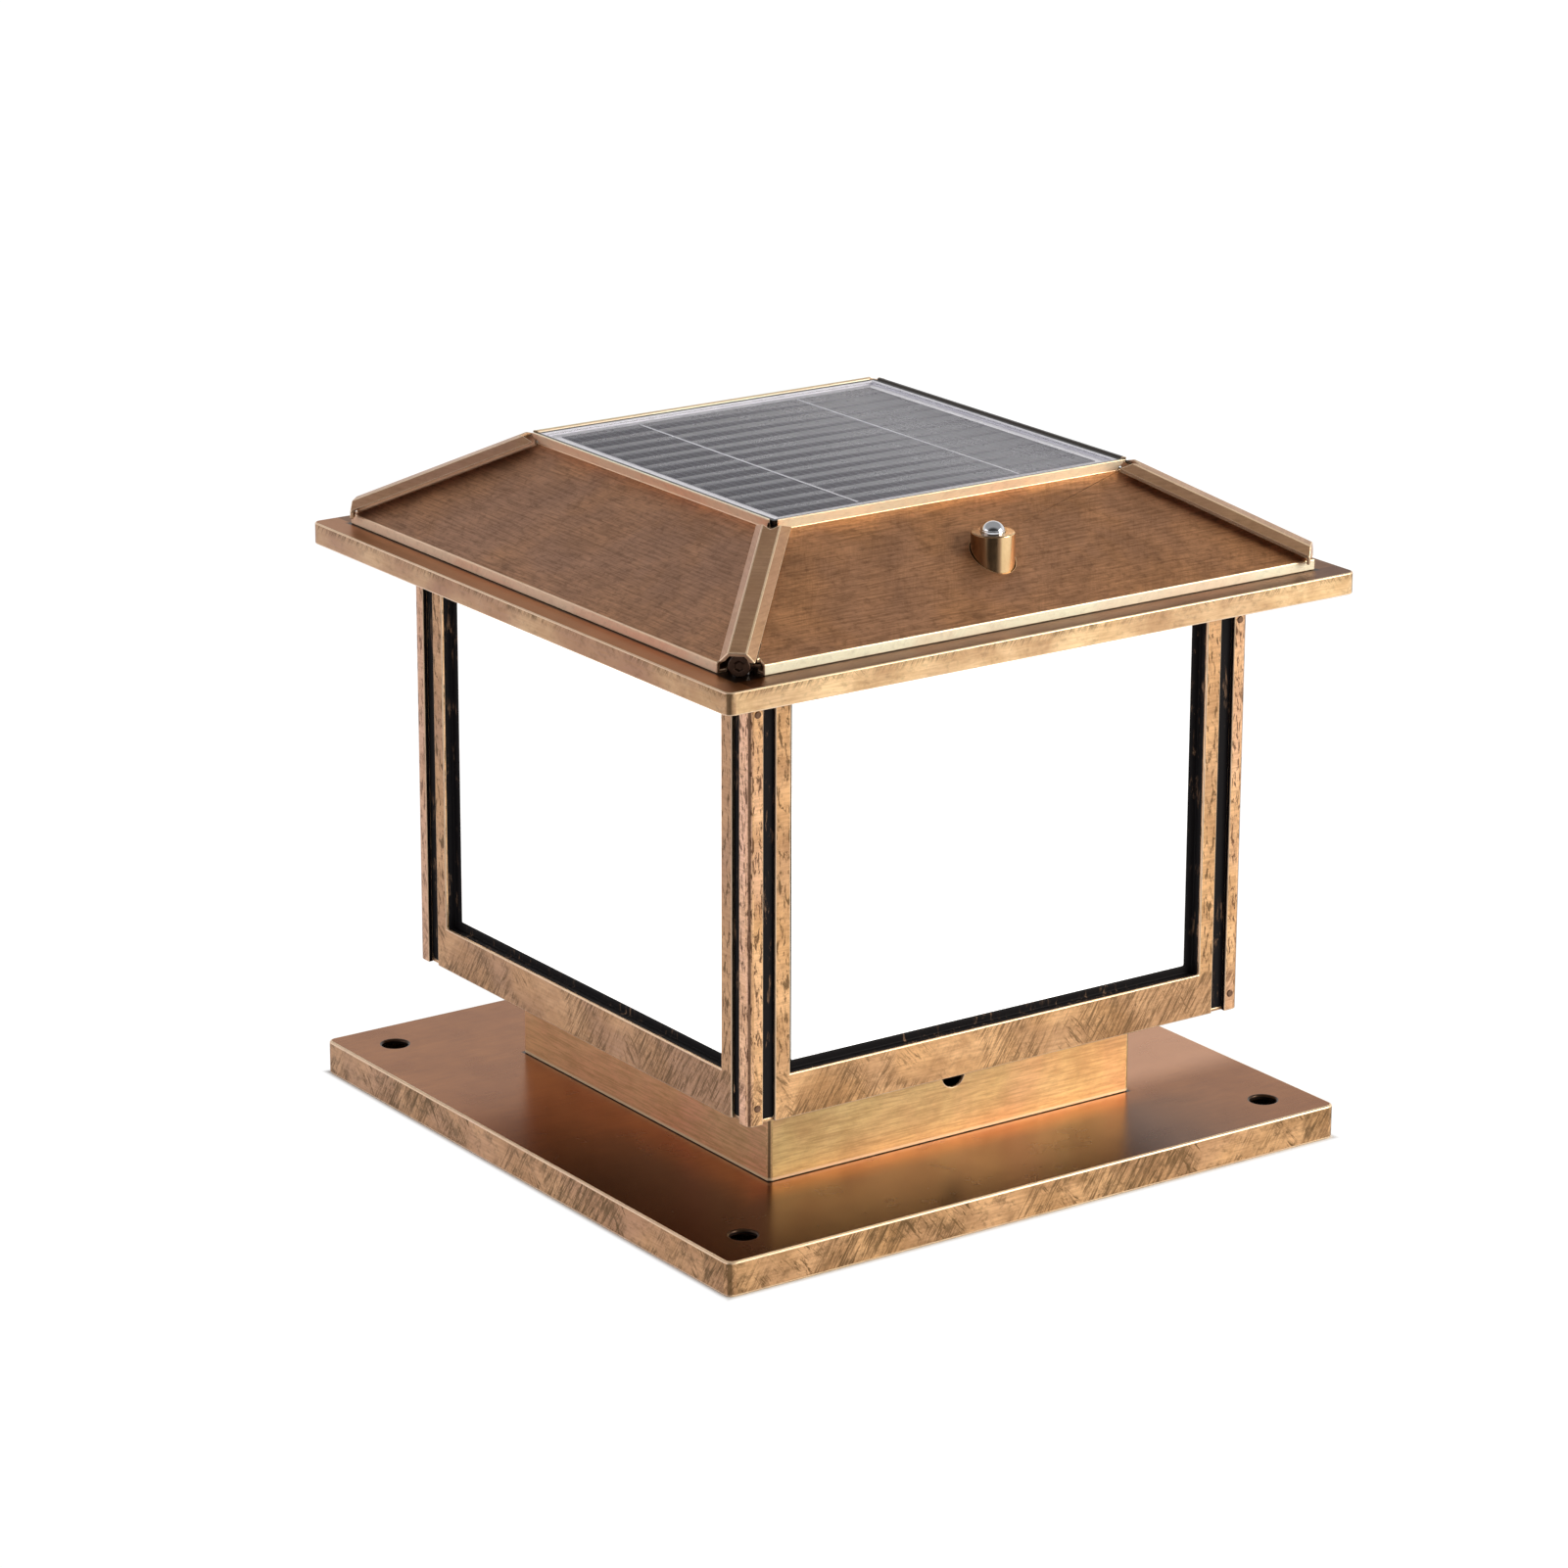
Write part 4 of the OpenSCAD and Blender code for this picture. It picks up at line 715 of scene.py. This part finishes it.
def post_faces(normals, middles):
    """Black painted shade on the faces that look away from the post's own corner: the inside, the legs'
    ends.
    """
    outward = np.sign(middles[:, :2].mean(axis=0))
    return np.where(normals[:, :2] @ outward < -0.1, 1, 0)


for side in SIDES:
    dressed("frame_" + side, "sheet_bronze slot_black worn_bronze", 0.0004, frame_faces(side), 2)
    dressed("gasket_" + side, "strip_flecked", 0.0005)
    dressed("panel_" + side, "opal", 0.0004)
for corner in CORNERS:
    dressed("post_" + corner, "post_bronze slot_black worn_bronze", 0.0003, post_faces, 2)
    dressed("corner_bar_" + corner, "strip_flecked", 0.0004)
print("windows and posts dressed")

# %% Roof slopes and hip ribs
def slope_faces(side):
    """Brown on the sheet itself, paler on its band and rim, rib bronze on the rest."""
    out = np.array([*SIDES[side], 0.0])

    def kinds(normals, middles):
        outward = normals @ out
        sheet = (normals[:, 2] > 0.75) & (outward > 0.3)
        band = (outward > 0.95) & (middles[:, 2] < 0.2035)
        rim = (middles[:, 2] > 0.2306) & ~sheet
        return np.where(band | rim, 1, np.where(sheet, 0, 2))
    return kinds


for side in SIDES:
    dressed("slope_" + side, "roof_bronze fold_bronze rib_bronze worn_bronze", 0.00035,
            slope_faces(side), 3)
for corner in CORNERS:
    dressed("hip_rib_" + corner, "rib_bronze worn_bronze", 0.0004, None, 1)
print("roof dressed")

# %% Screws, rivets, clips and the parts inside
for group, material, width, segments, angle in (
        ("neck_fasteners floor_fasteners bar_screws roof_screws board_screws", "zinc_steel",
         0.00018, 2, 40), ("panel_clips", "zinc_steel", 0.0002, 2, 32),
        ("hip_blocks", "zinc_steel", 0.0003, 2, 32), ("rib_screws", "screw_dark", 0.0004, 3, 40),
        ("post_rivets", "rivet_bronze", 0.00012, 2, 25), ("panel_seal", "seal_smeared", 0.0003, 2, 32),
        ("solar_backboard", "border_white", 0.0002, 2, 32), ("solar_cover", "cover_clear", 0.0003, 2, 32),
        ("switch_tube", "tube_brass", 0.00045, 3, 40), ("switch_body", "plastic_black", 0.0003, 2, 40),
        ("battery_holder", "plastic_black", 0.0004, 2, 32), ("lamp_board", "board_white", 0.00025, 2, 40)):
    for node in group.split():
        dressed(node, material, width, segments=segments, angle=angle)
print("small parts dressed")

# %% [markdown]
# ## Turned and wound parts
# The push button, the battery cells and the return spring are round, so each is worked out as a
# surface of two parameters: an angle, and the place along a profile or a path.

# %% Surfaces on a grid
def grid_faces(rows, columns, closed=True):
    """Four-sided faces between neighbours on a grid of rows by columns. Columns meet when closed."""
    count = columns if closed else columns - 1
    row, column = np.meshgrid(np.arange(rows - 1), np.arange(count), indexing="ij")
    following = (column + 1) % columns
    quads = np.stack([row * columns + column, row * columns + following,
                      (row + 1) * columns + following, (row + 1) * columns + column], axis=-1)
    return quads.reshape(-1, 4)


def cleaned(mesh):
    """Joins points that share a place, such as a pole's, and turns the faces outwards."""
    shape = bmesh.new()
    shape.from_mesh(mesh)
    bmesh.ops.remove_doubles(shape, verts=shape.verts[:], dist=2e-7)
    bmesh.ops.dissolve_degenerate(shape, dist=1e-8, edges=shape.edges[:])
    bmesh.ops.recalc_face_normals(shape, faces=shape.faces[:])
    shape.to_mesh(mesh)
    shape.free()
    return mesh


def turned(name, profile, centre, steps=64, lying=False):
    """A profile of (radius, height) turned round an axis: x = r cos a, y = r sin a, z = height.
    A lying piece has its axis along X."""
    profile = np.asarray(profile, float)
    angle = np.linspace(0.0, 2.0 * np.pi, steps, endpoint=False)
    radius, height = profile[:, :1], np.repeat(profile[:, 1:], steps, axis=1)
    points = np.stack([radius * np.cos(angle), radius * np.sin(angle), height], axis=-1).reshape(-1, 3)
    if lying:
        points = points[:, [2, 0, 1]]
    return cleaned(mesh_of(name, points + np.asarray(centre), grid_faces(len(profile), steps)))


def arc(centre, radius, start, end, steps):
    """Points on a circle in the profile's plane, angles in degrees."""
    a = np.radians(np.linspace(start, end, steps))
    return np.column_stack([centre[0] + radius * np.cos(a), centre[1] + radius * np.sin(a)])


def tube(name, path, radius, side, steps=12):
    """A round tube along a path. At each point, u is square to the way and to a side direction, and
    v to both, so a point is path + r (cos a u + sin a v). The two ends are closed with a small dome."""
    path = np.asarray(path, float)
    way = np.gradient(path, axis=0)
    way /= np.linalg.norm(way, axis=1, keepdims=True)
    u = np.cross(way, np.asarray(side, float))
    u /= np.linalg.norm(u, axis=1, keepdims=True)
    v = np.cross(way, u)
    angle = np.linspace(0.0, 2.0 * np.pi, steps, endpoint=False)[None, :, None]
    ring = path[:, None, :] + radius * (np.cos(angle) * u[:, None, :] + np.sin(angle) * v[:, None, :])
    first, last = np.repeat(path[:1], steps, axis=0)[None], np.repeat(path[-1:], steps, axis=0)[None]
    points = np.concatenate([first, ring, last]).reshape(-1, 3)
    return cleaned(mesh_of(name, points, grid_faces(len(path) + 2, steps)))


print("surface helpers ready")

# %% The push button
SWITCH = np.array([0.0, -0.0925, 0.0])
BUTTON_TOP, DOME_R = 0.2284, 0.0042571
SPRING_FOOT, SPRING_TOP = 0.2088, 0.2168  # the spring stands between the switch and the collar
dome = arc((0.0, BUTTON_TOP - DOME_R), DOME_R, 20.2, 90.0, 18)
rim_round = arc((0.0037, 0.2253), 0.0003, 0.0, 60.0, 4)
profile = np.concatenate([
    [(0.0, 0.2112), (0.0010, 0.2112), (0.0012, 0.2114), (0.0012, SPRING_TOP), (0.0050, SPRING_TOP),
     (0.0052, 0.2170), (0.0052, 0.2186), (0.0050, 0.2188), (0.0040, 0.2188)], rim_round, dome])
finish_piece(turned("push_button", profile, SWITCH), "button_chrome", ("switch_button",), "button")
print("button ready")

# %% The return spring
turns, coil_r, wire_r = 5, 0.0028, 0.00035
t = np.linspace(0.0, 1.0, turns * 36 + 1)
turn = 2 * np.pi * turns * t
rise = SPRING_FOOT + wire_r + (SPRING_TOP - SPRING_FOOT - 2 * wire_r) * t
spring_path = np.column_stack([coil_r * np.cos(turn), coil_r * np.sin(turn), rise]) + SWITCH
spring = finish_piece(tube("return_spring", spring_path, wire_r, (0, 0, 1)), "zinc_steel",
                      ("switch_spring",), None)
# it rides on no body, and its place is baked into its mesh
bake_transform(spring)
print("spring ready")

# %% The battery cells
def cell_profile(length, radius):
    """Half a cell from its flat end to its contact button: a rolled groove near the top, a crimped
    rim, an insulating ring and a raised contact."""
    low, high = -length / 2, length / 2
    return np.concatenate([
        [(0.0, low), (radius - 0.0016, low), (radius - 0.0014, low + 0.0002)],
        arc((radius - 0.0012, low + 0.0014), 0.0012, -90, 0, 6),
        [(radius, high - 0.0062), (radius - 0.0003, high - 0.0058)],
        arc((radius + 0.0002, high - 0.0048), 0.0012, 205, 155, 7),
        [(radius - 0.0003, high - 0.0038), (radius, high - 0.0034)],
        arc((radius - 0.0010, high - 0.0022), 0.0010, 0, 90, 6),
        [(radius - 0.0028, high - 0.0012), (radius - 0.0030, high - 0.0022), (0.0034, high - 0.0022),
         (0.0032, high - 0.0004), (0.0028, high), (0.0, high)]])


def cell_faces(normals, middles):
    """Film on the barrel, bare steel on both ends."""
    return np.where((middles[:, 0] > 0.0300) | (middles[:, 0] < -0.0317), 1, 0)


CELL_LENGTH, CELL_R, CELL_ASIDE, PAIR_Y = 0.065, 0.0092, 0.0103, 0.030
EAVE_TOP, HOLDER_FLOOR = 0.1996, 0.002
pair = bmesh.new()
for aside in (-CELL_ASIDE, CELL_ASIDE):
    middle = (0.0, PAIR_Y + aside, EAVE_TOP + HOLDER_FLOOR + CELL_R)
    pair.from_mesh(turned("cell", cell_profile(CELL_LENGTH, CELL_R), middle, 48, True))
cells_mesh = bpy.data.meshes.new("battery_pair")
pair.to_mesh(cells_mesh)
pair.free()
finish_piece(cells_mesh, "film_blue cell_steel", ("battery_cells",), pick=cell_faces)
print("battery faces:", len(cells_mesh.polygons))

# %% [markdown]
# ## Wires inside
# The four wires inside the roof join the boards. Each follows the same few points as the exact
# model, on a Catmull-Rom curve, which goes through all of its points with no corners.

# %% Wires on smooth curves
def catmull(points, steps=10):
    """A curve through points: on each stretch, a cubic in t whose slope at a point is half the step
    between its two neighbours."""
    p = np.asarray(points, float)
    before, after = np.concatenate([p[:1], p[:-2]]), np.concatenate([p[2:], p[-1:]])
    a, b, c, d = (v[:, None, :] for v in (before, p[:-1], p[1:], after))
    t = np.linspace(0.0, 1.0, steps, endpoint=False)[None, :, None]
    line = 0.5 * (2 * b + (c - a) * t + (2 * a - 5 * b + 4 * c - d) * t ** 2
                  + (3 * b - a - 3 * c + d) * t ** 3)
    return np.concatenate([line.reshape(-1, 3), p[-1:]])


WIRE_R = 0.0012
ROUTES = {  # the points in mm, and a direction that the wire never runs along
    "solar_cable": ([(20, -30, 231.0), (20, -30, 225.3), (24, -34, 220.3), (24, -34, 217.2),
                     (20, -30, 214.2), (20, -30, 211.5)], (0, 1, 0)),
    "battery_cable": ([(15, 8.0, 207.8), (15, 3, 207.8), (19, -3, 207.8), (19, -8, 207.8),
                       (15, -13, 207.8), (15, -18.2, 207.8)], (0, 0, 1)),
    "lamp_cable": ([(-15, -18.2, 207.8), (-15, -14, 207.8), (-12, -9, 206.8), (-5, -6, 204.8),
                    (-0.5, -6, 203.6), (0, -6, 200.6), (0, -6, 198.7)], (1, 0.4, 0)),
    "switch_cable": ([(0, -86.8, 203.6), (0, -83.87, 203.6), (0, -76.84, 203.6), (3, -69.81, 206.8),
                      (0, -62.77, 207.8), (0, -57.8, 207.8)], (0, 0, 1)),
}
for node, (points, side) in ROUTES.items():
    low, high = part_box(node)
    path = catmull(np.array(points) / 1000.0)
    print(node, "box", [round(1000 * v, 1) for v in (*low, *high)],
          "ends", np.round(1000 * path[[0, -1]], 1).tolist())
    finish_piece(tube(node + "_wire", path, WIRE_R, side), "wire_red", (node,))

# %% [markdown]
# ## The solar panel
# Strips of silicon are soldered in a row, and two flat ribbons run across all of them. The white
# backboard shows in the narrow gaps and in the border. The strips are a little thinner than the
# pocket under the clear cover, so the ribbons lie on them without touching it.

# %% Cell strips and ribbons
def boxes(name, lows, highs):
    """Blocks from arrays of low and high corners: 8 points each, by choosing low or high for each
    axis, and 6 faces."""
    lows, highs = np.asarray(lows, float), np.asarray(highs, float)
    choose = np.array([[i & 1, (i >> 1) & 1, (i >> 2) & 1] for i in range(8)])
    points = np.where(choose[None], highs[:, None, :], lows[:, None, :]).reshape(-1, 3)
    quads = np.array([[0, 2, 3, 1], [4, 5, 7, 6], [0, 1, 5, 4], [2, 6, 7, 3], [0, 4, 6, 2],
                      [1, 3, 7, 5]])
    return mesh_of(name, points, (np.arange(len(lows))[:, None, None] * 8 + quads).reshape(-1, 4))


starts = cells_low[1] + strip_step * np.arange(STRIPS)
strip_top = cells_high[2] - 0.00006
ones = np.ones(STRIPS)
strip_lows = np.column_stack([cells_low[0] * ones, starts, cells_low[2] * ones])
strip_highs = np.column_stack([cells_high[0] * ones, starts + strip_step - STRIP_GAP, strip_top * ones])
finish_piece(boxes("cell_strips", strip_lows, strip_highs), "silicon", ("solar_cells",))
RIBBON_X, RIBBON_W, RIBBON_T, SHORTER = (-0.0325, 0.0325), 0.0009, 0.00004, 0.0004
finish_piece(boxes(
    "cell_ribbons", [(x - RIBBON_W / 2, cells_low[1] + SHORTER, strip_top) for x in RIBBON_X],
    [(x + RIBBON_W / 2, cells_high[1] - SHORTER, strip_top + RIBBON_T) for x in RIBBON_X]),
    "silver_print")
print("strip width in mm:", round(1000 * (strip_step - STRIP_GAP), 2))

# %% [markdown]
# ## The boards
# The control board carries plugs, a chip, a coil and a capacitor, each in its own material. The
# diodes on the lamp board are small square packages with a shallow domed lens.

# %% Control board and diodes
def board_faces(normals, middles):
    """Materials by place, in mm: the lacquered board, white plugs, a black chip, a bare can and a
    copper coil."""
    x, y, z = middles.T * 1000.0
    kinds = np.zeros(len(x))
    above = z > 205.25
    plugs = above & ((np.abs(np.abs(x) - 15) < 4.1) & (y > -25.5) | (np.abs(x) < 4.1) & (y < -50))
    plugs |= above & (np.abs(x - 20) < 4.1) & (np.abs(y + 32) < 4.2)
    kinds[plugs] = 1
    kinds[above & (np.abs(x + 3) < 6.2) & (np.abs(y + 38) < 6.2)] = 2
    kinds[above & (np.hypot(x + 22, y + 42) < 4.3)] = 3
    kinds[above & (np.abs(x + 24) < 4.2) & (np.abs(y + 30) < 4.2)] = 4
    return kinds


dressed("control_board", "lacquer_green board_white plastic_black cell_steel copper_wire", 0.0003,
        board_faces, angle=40.0)


def domed_blocks(name, places, turned_by, length, width, height, steps=9):
    """Square packages with a domed lens: on a grid of (s, t) from -1 to 1, the height is 1 at the
    rim and grows with (1 - s^2)(1 - t^2), and the rim drops straight to the board."""
    s = np.linspace(-1.0, 1.0, steps)
    grid_s, grid_t = np.meshgrid(s, s, indexing="ij")
    lift = 0.35 + 0.65 * (1 - grid_s ** 2) * (1 - grid_t ** 2)
    block = np.concatenate([
        np.stack([grid_s * length / 2, grid_t * width / 2, -height * up], axis=-1).reshape(-1, 3)
        for up in (lift, 0 * lift)])
    flat_faces = grid_faces(steps, steps, False)
    number = np.arange(steps * steps).reshape(steps, steps)
    loop = np.concatenate([number[0, :-1], number[:-1, -1], number[-1, :0:-1], number[:0:-1, 0]])
    following = np.roll(loop, -1)
    walls = np.column_stack([loop, following, following + steps ** 2, loop + steps ** 2])
    faces = np.concatenate([flat_faces, flat_faces + steps ** 2, walls])
    cosine, sine = np.cos(turned_by)[:, None], np.sin(turned_by)[:, None]
    x, y, z = block.T[:, None, :]
    points = np.stack([x * cosine - y * sine, x * sine + y * cosine, z + 0 * cosine], axis=-1)
    points += np.asarray(places)[:, None, :]
    every = (np.arange(len(places))[:, None, None] * len(block) + faces).reshape(-1, 4)
    return cleaned(mesh_of(name, points.reshape(-1, 3), every))


DIODES, RING_R, BOARD_UNDERSIDE = 12, 0.032, 0.1984 - 0.0016
ring_turn = np.arange(DIODES) * 2 * np.pi / DIODES
ring_places = np.column_stack([RING_R * np.cos(ring_turn), RING_R * np.sin(ring_turn),
                               np.full(DIODES, BOARD_UNDERSIDE)])
finish_piece(domed_blocks("diode_ring", ring_places, ring_turn, 0.0035, 0.0028, 0.0008),
             "diode_resin", ("lamp_diodes",))
print("boards dressed")

# %% [markdown]
# ## Studio
# The photograph's background is pure white and its light is soft and mostly level: upright faces
# are bright, and faces that look up at the dark ceiling are brown. So the world is white near the
# horizon and dim overhead, the floor is white, and a large soft lamp stands at the right, with a
# weaker one at the left. A dark cloth on the floor, on the camera's side, darkens what the metal
# mirrors.

# %% Floor, world and lamps
floor_mesh = mesh_of("studio_floor", [(-6, -6, 0), (6, -6, 0), (6, 6, 0), (-6, 6, 0)], [[0, 1, 2, 3]])
studio_floor = shown("studio_floor", floor_mesh)
tree, shader = new_material("floor_white", Roughness=0.8, Emission_Color=(1.0, 1.0, 1.0, 1.0))
floor_mesh.materials.append(looks["floor_white"])
# it glows for the camera and in mirrors, from under the base's skirt outwards, so that no glow is
# seen through the bolt holes
x, y, _ = three_parts(tree, place_in(tree))
open_floor = ramp(tree, square_reach(tree, x, y), 0.1242, 0.1270)
rays = add(tree, "ShaderNodeLightPath")
seen = maths(tree, "MAXIMUM", rays.outputs["Is Camera Ray"], rays.outputs["Is Transmission Ray"])
seen = maths(tree, "MAXIMUM", seen, rays.outputs["Is Glossy Ray"])
glow = times(tree, seen, open_floor)
join(tree, glow, shader.inputs["Emission Strength"])
join(tree, blend_colours(tree, glow, (0.86, 0.86, 0.86, 1.0), (0.0, 0.0, 0.0, 1.0)),
     shader.inputs["Base Color"])

camera_way, camera_side = np.array([-0.573, -0.8195]), np.array([0.8195, -0.573])
world = bpy.data.worlds.new("studio_world")
bpy.context.scene.world = world
world.use_nodes = True
tree = world.node_tree
background = tree.nodes["Background"]
sky_way = add(tree, "ShaderNodeTexCoord").outputs["Generated"]
height = three_parts(tree, sky_way)[2]
towards_camera = vectors(tree, "DOT_PRODUCT", sky_way, (*camera_way.tolist(), 0.0))
overhead = ramp(tree, height, 0.34, 0.66)
unlit_front = times(tree, ramp(tree, towards_camera, 0.20, 0.60), ramp(tree, height, 0.16, 0.26))
level_light = opposite(tree, times(tree, overhead, 0.60))
strength = times(tree, level_light, opposite(tree, times(tree, unlit_front, 0.88)))
join(tree, strength, background.inputs["Strength"])
background.inputs["Color"].default_value = (1.0, 1.0, 1.0, 1.0)


def soft_lamp(name, place, aim_at, width, power, tint):
    """A square area lamp that looks at a point."""
    data = bpy.data.lights.new(name, "AREA")
    data.shape, data.size, data.energy, data.color = "SQUARE", width, power, tint
    away = np.subtract(place, aim_at)
    away /= np.linalg.norm(away)
    across = np.cross((0.0, 0.0, 1.0), away)
    across /= np.linalg.norm(across)
    shown(name, data, across, np.cross(away, across), away, place)


soft_lamp("key_lamp", (1.3, -1.5, 0.9), (0, 0, 0.1), 1.0, 34.0, (1.0, 0.95, 0.85))
soft_lamp("left_lamp", (-1.7, 0.4, 0.8), (0, 0, 0.1), 1.2, 4.0, (1.0, 0.95, 0.97))

FLAG_CORNERS = ((0.56, -0.4), (0.56, 0.4), (1.6, 0.5), (1.6, -0.5))  # out and aside, in metres
flag_corners = [camera_way * out + camera_side * aside for out, aside in FLAG_CORNERS]
flag_mesh = mesh_of("floor_flag", [(*corner, 0.002) for corner in flag_corners], [[0, 3, 2, 1]])
new_material("flag_cloth", Base_Color=(0.02, 0.02, 0.02, 1.0), Roughness=0.9)
flag_mesh.materials.append(looks["flag_cloth"])
floor_flag = shown("floor_flag", flag_mesh)
floor_flag.visible_camera = False
print("studio ready")
